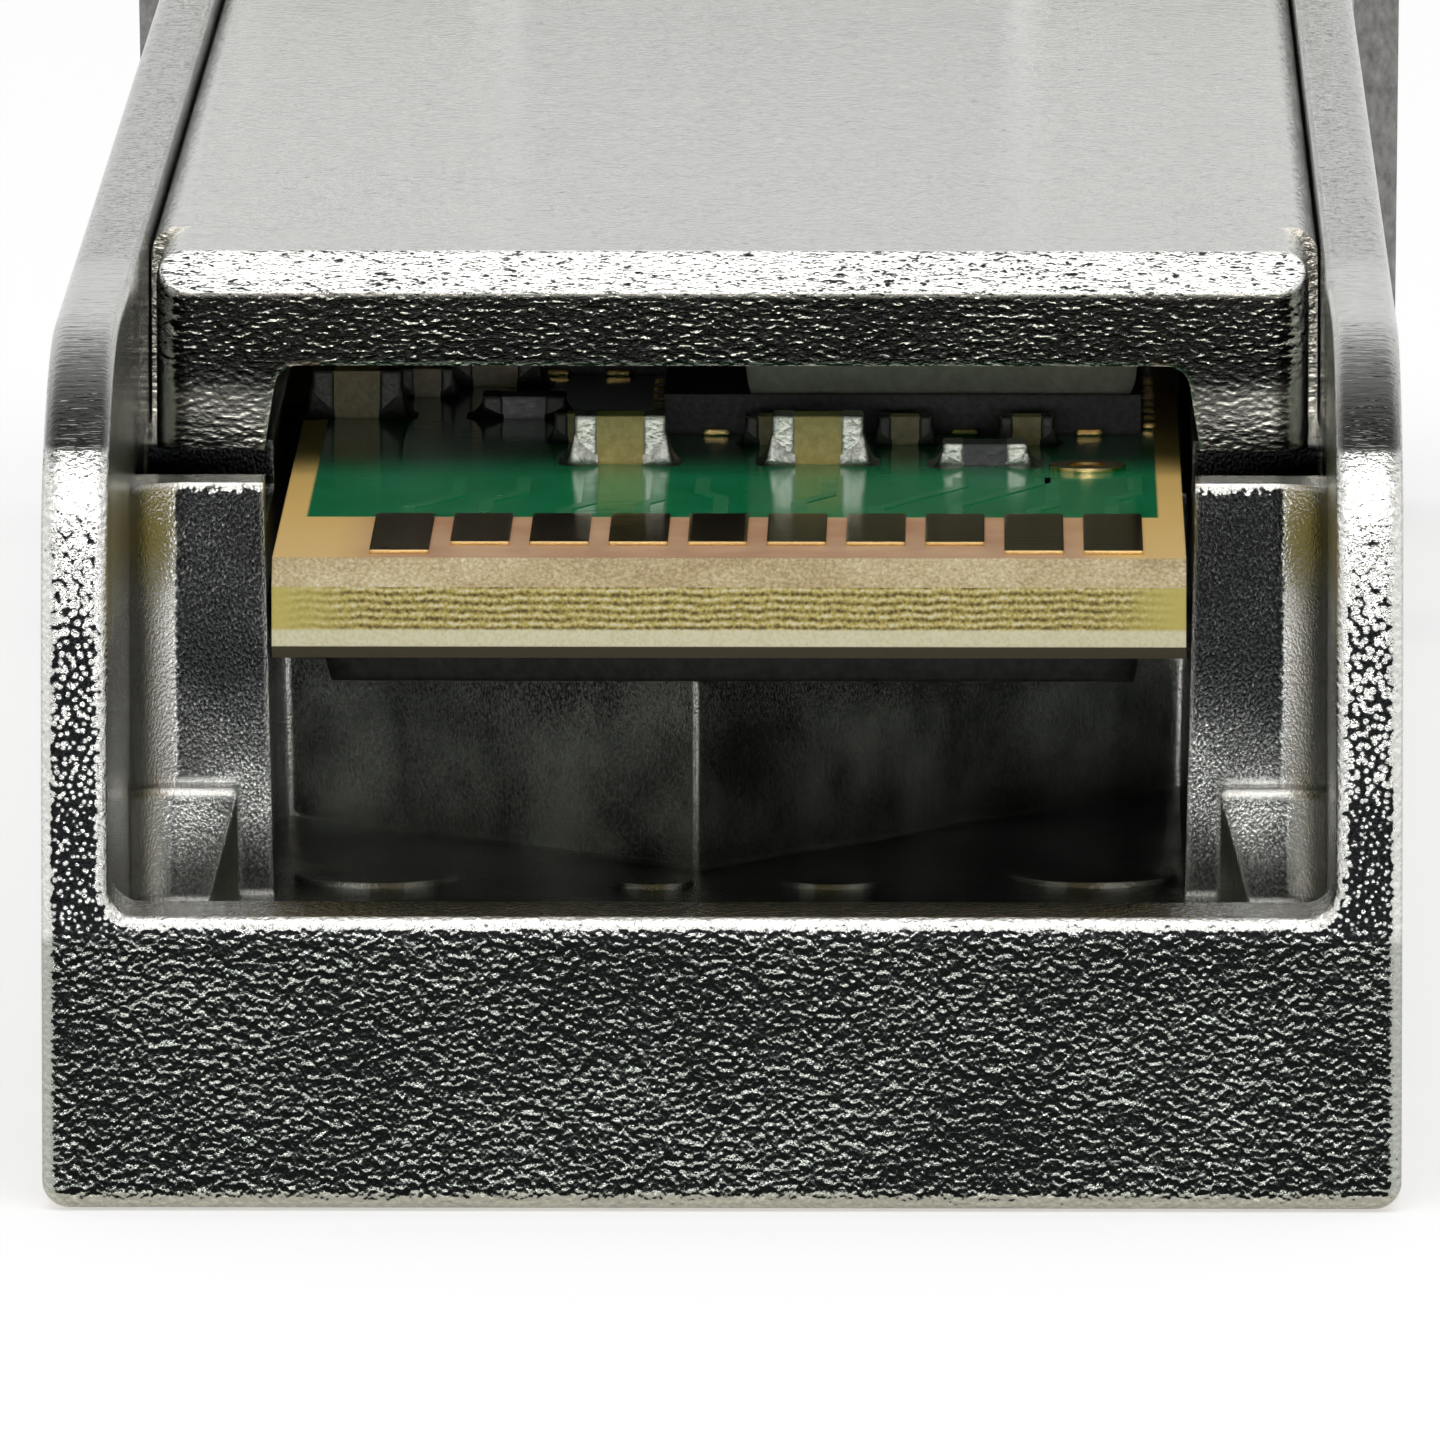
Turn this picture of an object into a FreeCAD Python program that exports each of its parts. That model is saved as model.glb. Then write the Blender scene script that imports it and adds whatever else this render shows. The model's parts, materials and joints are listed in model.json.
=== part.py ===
import FreeCAD, Part
import math
import os
from FreeCAD import Vector

# Pluggable optical transceiver module, drawn lying on its hood, in millimetres.
# X runs across the module, Y from the card-edge end to the fibre end, Z up from the hood's outer face.
# While drawing, Y starts at the card-edge end. On export the origin moves to the middle of the hood.

# Standard outline of the module
LENGTH = 56.5
BODY_WIDTH = 13.55
BODY_HEIGHT = 8.5
NOSE_LENGTH = 9.0
NOSE_OVERHANG = 0.075
NOSE_RISE = 1.1
SHOULDER_TO_STOP = 2.5
COVER_Y = 10.4
BOARD_Y = 3.2
PORT_PITCH = 6.25
AXIS_OFFSET = 0.31

# Cast housing
SKIRT_WALL = 0.665
LIP_HEIGHT = 2.94
LIP_DEPTH = 1.2
FLOOR_HEIGHT = 2.12
PILLAR_FACE = 7.6
RAIL_OVER_BOARD = 0.25
LEAD_IN_LENGTH = 4.2
LEAD_IN_DROP = 1.4
LEAD_IN_BLEND = 1.5
WALL_LEAN = 0.28
HOOD_EDGE_RADIUS = 0.27
REAR_EDGE_RADIUS = 0.18
MOUTH_EDGE_RADIUS = 0.12
MOUTH_CORNER_RADIUS = 0.3
PILLAR_FILLET = 0.58
PILLAR_DEPTH = 0.7
RELIEF_UNDER_COVER = 0.8
RAIL_RELIEF_DEPTH = 0.5
FOOT_BLOCK_WIDTH = 1.08
FOOT_BLOCK_DEPTH = 0.5
FOOT_BLOCK_RISE = 1.16
FOOT_FILLET = 0.5
FOOT_EDGE_RADIUS = 0.09
FOOT_TAPER_WIDTH = 0.3
FOOT_TAPER_DEPTH = 0.42
BAY_WALL = 0.75
BULKHEAD_TO_STOP = 5.9
NOSE_WALL = 0.6
NOSE_EDGE_RADIUS = 0.45
EJECTOR_RISE = 0.05
EJECTOR_MARKS = [(-3.65, 8.9, 0.85), (-0.8, 8.4, 0.42), (1.05, 8.5, 0.52), (3.75, 9.0, 0.85)]
BAY_GAP = 0.1

# Heat pedestal with a pointed rear end, under the board
PEDESTAL_TIP_X = -0.36
PEDESTAL_TIP_Y = 9.4
PEDESTAL_FLARE_LEFT = 0.98
PEDESTAL_FLARE_RIGHT = 1.3
PEDESTAL_HEIGHT = 4.1
PEDESTAL_END = 24.0
SHELF_START = 17.0
SHELF_WIDTH = 0.35

# Bottom cover, a channel set between the skirt walls
COVER_TOP_GAP = 0.1
COVER_PLATE = 1.15
COVER_SIDE_GAP = 0.03
COVER_END_RELIEF = 0.12
COVER_RELIEF_LENGTH = 2.6
COVER_BEVEL = 0.4
COVER_EDGE_RADIUS = 0.28
COVER_CORNER_RADIUS = 0.35
CHANNEL_TOP_HALF = 4.7
CHANNEL_FLARE = 0.14
CHANNEL_RADIUS = 0.25
EAR_LENGTH = 2.3
EAR_WIDTH = 2.53
EAR_GAP = 0.2
SCREW_FROM_BULKHEAD = 1.3
SCREW_RADIUS = 0.7
SCREW_HEAD_RADIUS = 1.15
SCREW_LENGTH = 3.2
SCREW_CLEARANCE = 0.03
SCREW_SLOT_WIDTH = 0.3
SCREW_SLOT_DEPTH = 0.35

# Circuit board
BOARD_WIDTH = 9.2
BOARD_THICKNESS = 1.0
BOARD_DEPTH = 2.38
BOARD_TO_BULKHEAD = 7.0
BOARD_OFFSET = 0.04
BOARD_SIDE_GAP = 0.13
CHANNEL_DRAFT = 0.1
EDGE_BEVEL_HEIGHT = 0.27
EDGE_BEVEL_DEPTH = 0.25
LOWER_BEVEL = 0.13
CONTACT_COUNT = 10
CONTACT_PITCH = 0.8
CONTACT_WIDTH = 0.6
CONTACT_THICKNESS = 0.04
CONTACT_END = 6.8
CONTACT_SETBACK_LONG = 0.55
CONTACT_SETBACK_SHORT = 1.25
CONTACT_ROW_OFFSET = 0.27
UPPER_LONG_CONTACTS = (0, 8, 9)
LOWER_LONG_CONTACTS = (0, 3, 6, 9)
VIA_X = 3.67
VIA_FROM_COVER = 0.5
VIA_RADIUS = 0.4
VIA_HOLE_RADIUS = 0.2
VIA_RIM = 0.05

# Parts on the board: length across X, depth along Y, height
CAPACITOR_SIZE = (0.93, 0.5, 0.5)
RESISTOR_SIZE = (0.86, 0.5, 0.23)
SMALL_CAPACITOR_SIZE = (0.55, 0.3, 0.3)
INDUCTOR_SIZE = (1.5, 0.9, 0.6)
DRIVER_SIZE = (5.0, 5.0, 0.42)
CONTROLLER_SIZE = (5.0, 5.0, 0.8)

# Their places: X, and Y counted from the cover's rear end
EDGE_X = 0.6 - BOARD_WIDTH / 2
CAPACITOR_PLACES = [(-1.17, 1.1), (0.88, 1.1), (EDGE_X, 5.1), (-2.6, 7.9), (3.4, 9.8), (-3.4, 12.8)]
RESISTOR_PLACES = [(2.615, 0.95), (-2.24, 5.1), (-3.3, 9.4), (3.4, 11.0)]
SMALL_CAPACITOR_PLACES = [(-1.6, 2.9), (0.4, 2.7), (1.78, 2.7), (3.05, 2.7), (-3.3, 6.9)]
INDUCTOR_PLACES = [(-3.4, 11.3), (3.4, 12.6)]
DRIVER_X = 1.75
DRIVER_FROM_COVER = 6.0
CONTROLLER_FROM_COVER = 11.3

# Heat pads above and below the board
UPPER_PAD_INSET = 0.8
LOWER_PAD_SIDE_GAP = 0.35
LOWER_PAD_START = 9.25
LOWER_PAD_END_GAP = 1.0

# Optical sub-assemblies, in order from the board to the port
CAN_ROOF_GAP = 0.55
CAN_FLOOR_GAP = 0.2
CAN_SIDE_GAP = 0.2
HEADER_LENGTH = 0.9
HEADER_RIM = 0.15
CAP_LENGTH = 1.8
HOLDER_WALL = 0.35
HOLDER_LENGTH = 3.0
HOLDER_BORE_GAP = 0.03
NECK_RADIUS = 1.5
NECK_LENGTH = 1.0
FLANGE_RADIUS = 2.1
FLANGE_LENGTH = 1.3
BARREL_RADIUS = 1.475
BARREL_SETBACK = 6.5
BARREL_GAP = 0.05
FERRULE_BORE_RADIUS = 0.6275
FERRULE_BORE_DEPTH = 5.0
PIN_CIRCLE_RADIUS = 1.3
HEADER_PIN_RADIUS = 0.2
HEADER_PIN_LENGTH = 0.35
FLEX_THICKNESS = 0.12
FLEX_SIDE_GAP = 0.145
FLEX_LAP = 2.4
CLAMP_THICKNESS = 0.7
CLAMP_GAP = 0.1

# Fibre receptacle
RECEPTACLE_GAP = 0.05
RECEPTACLE_SETBACK = 0.2
RECEPTACLE_REAR_WALL = 1.0
PORT_HALF = 2.28
LATCH_SLOT_HALF = 1.75
LATCH_SLOT_FLOOR = 0.25
CATCH_HALF = 2.1
CATCH_FROM_FRONT = 3.4
CATCH_LENGTH = 1.7

# Grounding collar of spring fingers
COLLAR_SHEET = 0.15
COLLAR_BAND = 0.9
COLLAR_RECESS = 0.5
COLLAR_CROWN = 0.65
COLLAR_LENGTH = 2.8
FINGER_CROWN_LENGTH = 0.5
COLLAR_CLEARANCE = 0.1
FINGER_WIDTH = 1.35
FINGER_PITCH = 1.65

# Bail latch
LATCH_CAVITY_DEPTH = 1.95
NOSE_WEB = 0.35
PIVOT_FROM_STOP = 2.5
PIVOT_DEPTH = 0.5
PIVOT_RADIUS = 0.4
PIVOT_CLEARANCE = 0.03
PIVOT_PIN_GRIP = 1.6
ROCKER_SIDE_GAP = 0.25
ROCKER_THICKNESS = 0.75
ROCKER_DEPTH_BELOW_FACE = 0.15
ROCKER_HUB_RADIUS = 0.72
ROCKER_HUB_GAP = 0.15
ROCKER_END_GAP = 0.3
ROCKER_ARM_THICKNESS = 0.6
ROCKER_REAR_OVERRUN = 0.2
BOSS_HEIGHT = 0.45
BOSS_WIDTH = 2.6
BOSS_LENGTH = 2.6
BOSS_RAMP = 1.2
BAIL_FROM_FRONT = 2.3
BAIL_PIN_RADIUS = 0.45
BAIL_CLEARANCE = 0.05
BAIL_SIDE_GAP = 0.15
BAIL_SHEET = 0.6
BAIL_STRIP = 1.3
BAIL_CORNER_BEND = 1.3
BAIL_BAR_AHEAD = 1.15
BAIL_BAR_Z = 1.0
BAIL_PIN_INSET = 1.6
CAM_RADIUS = 0.7
CAM_THROW = 0.28
CAM_FOLLOWER_GAP = 0.1
CAM_END_GAP = 0.2
GRIP_WALL = 0.25
GRIP_HALF = 4.6
GRIP_EDGE_RADIUS = 0.2
PRESS_GAP = 0.02
SPRING_SHEET = 0.15
SPRING_HALF = 1.0
SPRING_FROM_STOP = 0.5
SPRING_LENGTH = 3.6
SPRING_FOOT = 1.0
SPRING_RISE = 0.18

# Places worked out from the sizes above, along the module
STOP_Y = LENGTH - NOSE_LENGTH
LATCH_SHOULDER = STOP_Y - SHOULDER_TO_STOP
BULKHEAD_FACE = STOP_Y - BULKHEAD_TO_STOP
BOARD_END = BULKHEAD_FACE - BOARD_TO_BULKHEAD
BAY_START = BOARD_END + BAY_GAP
FLANGE_START = BULKHEAD_FACE - FLANGE_LENGTH
NECK_START = FLANGE_START - NECK_LENGTH
HOLDER_START = NECK_START - HOLDER_LENGTH
HEADER_START = HOLDER_START - HEADER_LENGTH
BARREL_TIP = LENGTH - BARREL_SETBACK
SCREW_Y = BULKHEAD_FACE + SCREW_FROM_BULKHEAD
EAR_END = BULKHEAD_FACE + EAR_LENGTH
COLLAR_START = STOP_Y - COLLAR_LENGTH - COLLAR_CLEARANCE
BOSS_START = LATCH_SHOULDER - BOSS_LENGTH
ROCKER_REAR = BOSS_START - ROCKER_REAR_OVERRUN
LATCH_CAVITY_REAR = ROCKER_REAR - ROCKER_END_GAP
SPRING_START = STOP_Y - SPRING_FROM_STOP
PIVOT_Y = STOP_Y + PIVOT_FROM_STOP
BAIL_Y = LENGTH - BAIL_FROM_FRONT
BAIL_BAR_Y = LENGTH + BAIL_BAR_AHEAD

# Across the module
HALF_BODY = BODY_WIDTH / 2
HALF_NOSE = HALF_BODY + NOSE_OVERHANG
INNER_HALF = HALF_BODY - SKIRT_WALL
CHANNEL_HALF = BOARD_WIDTH / 2 + BOARD_SIDE_GAP + BOARD_OFFSET
COVER_HALF = INNER_HALF - COVER_SIDE_GAP
SCREW_X = COVER_HALF - EAR_WIDTH / 2
CAVITY_HALF = COVER_HALF - EAR_WIDTH - 2 * EAR_GAP
ROCKER_HALF = CAVITY_HALF - ROCKER_SIDE_GAP
PORT_X = PORT_PITCH / 2
NOSE_BORE_HALF = HALF_NOSE - NOSE_WALL

# Up from the hood
NOSE_HEIGHT = BODY_HEIGHT + NOSE_RISE
BOARD_TOP = BODY_HEIGHT - BOARD_DEPTH
BOARD_BOTTOM = BOARD_TOP - BOARD_THICKNESS
RAIL_TOP = BOARD_TOP + RAIL_OVER_BOARD
COVER_TOP = BODY_HEIGHT - COVER_TOP_GAP
COVER_ROOF = COVER_TOP - COVER_PLATE
PIVOT_Z = BODY_HEIGHT - PIVOT_DEPTH
LATCH_CAVITY_FLOOR = BODY_HEIGHT - LATCH_CAVITY_DEPTH
NOSE_CAVITY_FLOOR = PIVOT_Z - ROCKER_HUB_RADIUS - ROCKER_HUB_GAP
NOSE_BORE_TOP = NOSE_CAVITY_FLOOR - NOSE_WEB
AXIS_HEIGHT = (NOSE_WALL + NOSE_BORE_TOP) / 2 + AXIS_OFFSET
ARM_BOTTOM = PIVOT_Z + CAM_RADIUS + CAM_FOLLOWER_GAP
ROCKER_TOP = BODY_HEIGHT - ROCKER_DEPTH_BELOW_FACE

# Cans as large as the bay round the optical axis lets them be
BAY_HALF = HALF_BODY - BAY_WALL
HEADER_RADIUS = min(COVER_ROOF - CAN_ROOF_GAP - AXIS_HEIGHT, BAY_HALF - CAN_SIDE_GAP - PORT_X)
HOLDER_RADIUS = HEADER_RADIUS - HEADER_RIM
CAP_RADIUS = HOLDER_RADIUS - HOLDER_WALL
BAY_FLOOR = AXIS_HEIGHT - HEADER_RADIUS - CAN_FLOOR_GAP

# How far a cutting block runs past the face that it opens, and how far a joined block bites in
REACH = 2 * BODY_HEIGHT
PAST = 1.0
BITE = 0.1

# Two places closer than this are the same, and an edge shorter than that is left alone
SAME = 1e-3
SHORT_EDGE = 0.05


def box(x0, x1, y0, y1, z0, z1):
    """Block between two corners."""
    return Part.makeBox(x1 - x0, y1 - y0, z1 - z0, Vector(x0, y0, z0))


def slab(half, y0, y1, z0, z1):
    """Block that is centred across the module."""
    return box(-half, half, y0, y1, z0, z1)


def rod_x(radius, half, y, z):
    """Cylinder across the module."""
    return Part.makeCylinder(radius, 2 * half, Vector(-half, y, z), Vector(1, 0, 0))


def rod_y(radius, y0, y1, x, z):
    """Cylinder along the module."""
    return Part.makeCylinder(radius, y1 - y0, Vector(x, y0, z), Vector(0, 1, 0))


def mirrored(shape):
    """The same shape on the other side of the centre plane."""
    return shape.mirror(Vector(0, 0, 0), Vector(1, 0, 0))


def both_sides(shape):
    """A shape and its mirror image."""
    return [shape, mirrored(shape)]


def plate_yz(outline, half):
    """Side-view outline, given as (y, z) points, drawn out across the module."""
    points = [Vector(-half, y, z) for y, z in outline]
    face = Part.Face(Part.makePolygon(points + points[:1]))
    return face.extrude(Vector(2 * half, 0, 0))


def edges_where(shape, test):
    """Edges whose box of extents passes a test."""
    return [edge for edge in shape.Edges if test(edge.BoundBox)]


def runs_along(bounds, axis):
    """True where an edge's box is thin in both other directions."""
    lengths = {"x": bounds.XLength, "y": bounds.YLength, "z": bounds.ZLength}
    own = lengths.pop(axis)
    return own > SHORT_EDGE and max(lengths.values()) < SAME


def near(a, b):
    return abs(a - b) < SAME


def turned(profile, x):
    """Solid of revolution about an optical axis, from (y, radius) points."""
    points = [Vector(x, y, AXIS_HEIGHT + radius) for y, radius in profile]
    face = Part.Face(Part.makePolygon(points + points[:1]))
    return face.revolve(Vector(x, 0, AXIS_HEIGHT), Vector(0, 1, 0), 360)


def arc_tangent_at(tangent, direction, far):
    """Arc that leaves a point in the given direction and ends at another point."""
    chord = far - tangent
    along = chord.dot(direction)
    side = (chord - direction * along)
    offset = side.Length
    radius = (along ** 2 + offset ** 2) / (2 * offset)
    inward = side.normalize()
    half_turn = math.atan2(along, radius - offset) / 2
    forward = direction * (radius * math.sin(half_turn))
    sideways = inward * (radius * (1 - math.cos(half_turn)))
    middle = tangent + forward + sideways
    return Part.Arc(tangent, middle, far).toShape()


def housing_side_view():
    """Side view of the rear body: hood, skirt end that leans back, and the rounded lead-in."""
    upright_end = Vector(-HALF_BODY, 0, LIP_HEIGHT + MOUTH_CORNER_RADIUS)
    lead_foot = Vector(-HALF_BODY, WALL_LEAN, BODY_HEIGHT - LEAD_IN_DROP)
    lead_end = Vector(-HALF_BODY, LEAD_IN_LENGTH, BODY_HEIGHT)
    straight = Part.makePolygon([
        lead_end,
        Vector(-HALF_BODY, STOP_Y, BODY_HEIGHT),
        Vector(-HALF_BODY, STOP_Y, 0),
        Vector(-HALF_BODY, 0, 0),
        upright_end,
    ])
    skirt_end = arc_tangent_at(upright_end, Vector(0, 0, 1), lead_foot)
    lead_in = arc_tangent_at(lead_end, Vector(0, -1, 0), lead_foot)
    edges = Part.sortEdges(straight.Edges + [skirt_end, lead_in])[0]
    face = Part.Face(Part.Wire(edges))
    return face.extrude(Vector(BODY_WIDTH, 0, 0))


def mouth_cut():
    """Space for the host connector: the mouth over the lip and the deeper well behind it."""
    over_lip = slab(INNER_HALF, -PAST, LIP_DEPTH + PAST, LIP_HEIGHT, REACH)
    corners = edges_where(over_lip, lambda b: runs_along(b, "y") and near(b.ZMin, LIP_HEIGHT))
    over_lip = over_lip.makeFillet(MOUTH_CORNER_RADIUS, corners)
    well = slab(INNER_HALF, LIP_DEPTH, PILLAR_FACE, FLOOR_HEIGHT, REACH)
    corners = edges_where(well, lambda b: runs_along(b, "z") and near(b.YMin, PILLAR_FACE))
    well = well.makeFillet(PILLAR_FILLET, corners)
    return over_lip.fuse(well)


def collar_seat():
    """Band round the body that the grounding collar lies in."""
    around = slab(REACH, COLLAR_START, STOP_Y, -REACH, REACH)
    core = slab(HALF_BODY - COLLAR_RECESS, COLLAR_START, STOP_Y, COLLAR_CROWN, BODY_HEIGHT - COLLAR_RECESS)
    return around.cut(core)


def pedestal():
    """Heat pedestal whose rear end is pointed like a plough."""
    left_y = PEDESTAL_TIP_Y + PEDESTAL_FLARE_LEFT * (CHANNEL_HALF + PEDESTAL_TIP_X)
    right_y = PEDESTAL_TIP_Y + PEDESTAL_FLARE_RIGHT * (CHANNEL_HALF - PEDESTAL_TIP_X)
    plan = [
        (PEDESTAL_TIP_X, PEDESTAL_TIP_Y),
        (CHANNEL_HALF, right_y),
        (CHANNEL_HALF, PEDESTAL_END),
        (-CHANNEL_HALF, PEDESTAL_END),
        (-CHANNEL_HALF, left_y),
    ]
    points = [Vector(x, y, FLOOR_HEIGHT) for x, y in plan]
    face = Part.Face(Part.makePolygon(points + points[:1]))
    return face.extrude(Vector(0, 0, PEDESTAL_HEIGHT - FLOOR_HEIGHT))


def ejector_marks():
    """Round marks that the ejector pins leave on the floor, slightly proud."""
    marks = []
    for x, y, radius in EJECTOR_MARKS:
        foot = Vector(x, y, FLOOR_HEIGHT - EJECTOR_RISE)
        marks.append(Part.makeCylinder(radius, 2 * EJECTOR_RISE, foot))
    return marks


def board_channel():
    """Space between the side rails, a little narrower at its floor so that the casting draws."""
    low = CHANNEL_HALF - CHANNEL_DRAFT
    start = PILLAR_FACE - PILLAR_FILLET - PAST
    outline = [
        Vector(-low, start, FLOOR_HEIGHT),
        Vector(low, start, FLOOR_HEIGHT),
        Vector(CHANNEL_HALF, start, RAIL_TOP),
        Vector(-CHANNEL_HALF, start, RAIL_TOP),
    ]
    face = Part.Face(Part.makePolygon(outline + outline[:1]))
    return face.extrude(Vector(0, BAY_START + BITE - start, 0))


def rail_relief():
    """Pocket in the top of a rail, from the post at its rear end to under the cover."""
    post_back = PILLAR_FACE + PILLAR_DEPTH
    relief_end = COVER_Y + RELIEF_UNDER_COVER
    low = RAIL_TOP - RAIL_RELIEF_DEPTH
    return box(CHANNEL_HALF - PAST, INNER_HALF, post_back, relief_end, low, RAIL_TOP + PAST)


def foot_block():
    """Block at the foot of a post: a hollow blend to the wall, rounded top edges and a tapered inner corner."""
    x = INNER_HALF - FOOT_BLOCK_WIDTH
    y = PILLAR_FACE - FOOT_BLOCK_DEPTH
    top = FLOOR_HEIGHT + FOOT_BLOCK_RISE
    in_wall = INNER_HALF + SKIRT_WALL / 2
    blend_end = y - FOOT_FILLET
    rear_end = blend_end - SKIRT_WALL / 2
    middle = FOOT_FILLET * math.sqrt(0.5)
    arc_start = Vector(INNER_HALF - FOOT_FILLET, y, FLOOR_HEIGHT)
    arc_middle = Vector(INNER_HALF - FOOT_FILLET + middle, blend_end + middle, FLOOR_HEIGHT)
    arc_end = Vector(INNER_HALF, blend_end, FLOOR_HEIGHT)
    straight = Part.makePolygon([
        arc_end,
        Vector(INNER_HALF, rear_end, FLOOR_HEIGHT),
        Vector(in_wall, rear_end, FLOOR_HEIGHT),
        Vector(in_wall, PILLAR_FACE + BITE, FLOOR_HEIGHT),
        Vector(x, PILLAR_FACE + BITE, FLOOR_HEIGHT),
        Vector(x, y, FLOOR_HEIGHT),
        arc_start,
    ])
    blend = Part.Arc(arc_start, arc_middle, arc_end).toShape()
    edges = Part.sortEdges(straight.Edges + [blend])[0]
    block = Part.Face(Part.Wire(edges)).extrude(Vector(0, 0, FOOT_BLOCK_RISE))
    corners = edges_where(block, lambda b: near(b.ZMin, top) and b.XMax < INNER_HALF + SAME)
    block = block.makeFillet(FOOT_EDGE_RADIUS, corners)
    corner = Vector(x, y, FLOOR_HEIGHT)
    across = Vector(x + FOOT_TAPER_WIDTH, y, FLOOR_HEIGHT)
    back = Vector(x, y + FOOT_TAPER_DEPTH, FLOOR_HEIGHT)
    plan = Part.makePolygon([corner, across, back, corner])
    taper = Part.makeLoft([plan, Part.Vertex(x, y, top)], True, True)
    return block.cut(taper)


def make_housing():
    body = housing_side_view()
    crease = edges_where(body, lambda b: runs_along(b, "x") and near(b.YMin, WALL_LEAN))
    body = body.makeFillet(LEAD_IN_BLEND, crease)
    long_edges = edges_where(body, lambda b: runs_along(b, "y") and near(b.ZMax, 0))
    body = body.makeFillet(HOOD_EDGE_RADIUS, long_edges)
    nose = slab(HALF_NOSE, STOP_Y, LENGTH, 0, NOSE_HEIGHT)
    nose = nose.makeFillet(NOSE_EDGE_RADIUS, edges_where(nose, lambda b: runs_along(b, "y")))
    body = body.cut(collar_seat())
    body = body.fuse(nose)
    body = body.cut(mouth_cut())
    rim = edges_where(body, is_mouth_rim)
    body = body.makeFillet(MOUTH_EDGE_RADIUS, rim)
    foot = edges_where(body, is_rear_outline)
    body = body.makeFillet(REAR_EDGE_RADIUS, foot)

    cavities = [
        slab(INNER_HALF, PILLAR_FACE - PILLAR_FILLET, BULKHEAD_FACE, RAIL_TOP, REACH),
        board_channel(),
        slab(BAY_HALF, BAY_START, BULKHEAD_FACE, BAY_FLOOR, REACH),
        slab(NOSE_BORE_HALF, STOP_Y, LENGTH + PAST, NOSE_WALL, NOSE_BORE_TOP),
        slab(CAVITY_HALF, LATCH_CAVITY_REAR, STOP_Y, LATCH_CAVITY_FLOOR, REACH),
        slab(CAVITY_HALF, STOP_Y, LENGTH + PAST, NOSE_CAVITY_FLOOR, REACH),
        rod_x(BAIL_PIN_RADIUS + BAIL_CLEARANCE, REACH, BAIL_Y, PIVOT_Z),
        rod_x(PIVOT_RADIUS + PIVOT_CLEARANCE, CAVITY_HALF + PIVOT_PIN_GRIP, PIVOT_Y, PIVOT_Z),
    ]
    for side in (-1, 1):
        ear_low = min(side * (CAVITY_HALF + EAR_GAP), side * INNER_HALF)
        ear_high = max(side * (CAVITY_HALF + EAR_GAP), side * INNER_HALF)
        cavities.append(box(ear_low, ear_high, BULKHEAD_FACE - PAST, EAR_END + EAR_GAP, COVER_ROOF, REACH))
        barrel_x = side * PORT_X
        barrel_hole = BARREL_RADIUS + BARREL_GAP
        cavities.append(rod_y(barrel_hole, BULKHEAD_FACE - PAST, STOP_Y, barrel_x, AXIS_HEIGHT))
        bottom = Vector(side * SCREW_X, SCREW_Y, COVER_TOP - SCREW_LENGTH)
        cavities.append(Part.makeCylinder(SCREW_RADIUS + SCREW_CLEARANCE, SCREW_LENGTH, bottom))
    cavities += both_sides(rail_relief())
    body = body.cut(Part.makeCompound(cavities))

    shelf = box(CHANNEL_HALF - SHELF_WIDTH, CHANNEL_HALF, SHELF_START, BAY_START, FLOOR_HEIGHT, BOARD_BOTTOM)
    added = [pedestal()] + both_sides(foot_block()) + both_sides(shelf) + ejector_marks()
    return body.fuse(added).removeSplitter()


def is_mouth_rim(bounds):
    """Edge of the mouth on the rear face: over the lip, round its corners and up the skirt walls."""
    inside = max(abs(bounds.XMin), abs(bounds.XMax)) < INNER_HALF + SAME
    low = bounds.ZMax < BODY_HEIGHT - LEAD_IN_DROP + SAME and bounds.ZMin > LIP_HEIGHT - SAME
    return inside and low and bounds.YMax < WALL_LEAN + SAME


def is_rear_outline(bounds):
    """Outer edge of the rear face: under the hood and up both sides of the hood."""
    outer = bounds.ZMin < SAME or max(abs(bounds.XMin), abs(bounds.XMax)) > HALF_BODY - SAME
    return outer and bounds.YMax < SAME and bounds.ZMax < LIP_HEIGHT + SAME


def cover_block(half, y0, y1):
    """Length of the cover's outside, with its long top edges rounded."""
    block = slab(half, y0, y1, RAIL_TOP, COVER_TOP)
    edges = edges_where(block, lambda b: runs_along(b, "y") and near(b.ZMin, COVER_TOP))
    return block.makeFillet(COVER_EDGE_RADIUS, edges)


def make_bottom_cover():
    front = BULKHEAD_FACE - EAR_GAP / 2
    relief_end = COVER_Y + COVER_RELIEF_LENGTH
    rear_half = COVER_HALF - COVER_END_RELIEF
    rear_block = cover_block(rear_half, COVER_Y, relief_end)
    corners = edges_where(rear_block, lambda b: runs_along(b, "z") and near(b.YMax, COVER_Y))
    rear_block = rear_block.makeFillet(COVER_CORNER_RADIUS, corners)
    cover = cover_block(COVER_HALF, relief_end, front).fuse(rear_block)
    bevel = plate_yz([
        (COVER_Y - COVER_BEVEL, COVER_TOP - 2 * COVER_BEVEL),
        (COVER_Y + 2 * COVER_BEVEL, COVER_TOP + COVER_BEVEL),
        (COVER_Y - COVER_BEVEL, COVER_TOP + COVER_BEVEL),
    ], BODY_WIDTH)
    cover = cover.cut(bevel)
    ear = box(CAVITY_HALF + 2 * EAR_GAP, COVER_HALF, front - PAST, EAR_END, COVER_ROOF, COVER_TOP)
    cover = cover.fuse(both_sides(ear))
    cover = cover.cut(channel_cut())
    for side in (-1, 1):
        hole = Part.makeCylinder(SCREW_RADIUS + SCREW_CLEARANCE, REACH, Vector(side * SCREW_X, SCREW_Y, 0))
        cover = cover.cut(hole)
        cover = cover.cut(screw_head(side * SCREW_X, SCREW_CLEARANCE))
    return cover.removeSplitter()


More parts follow.
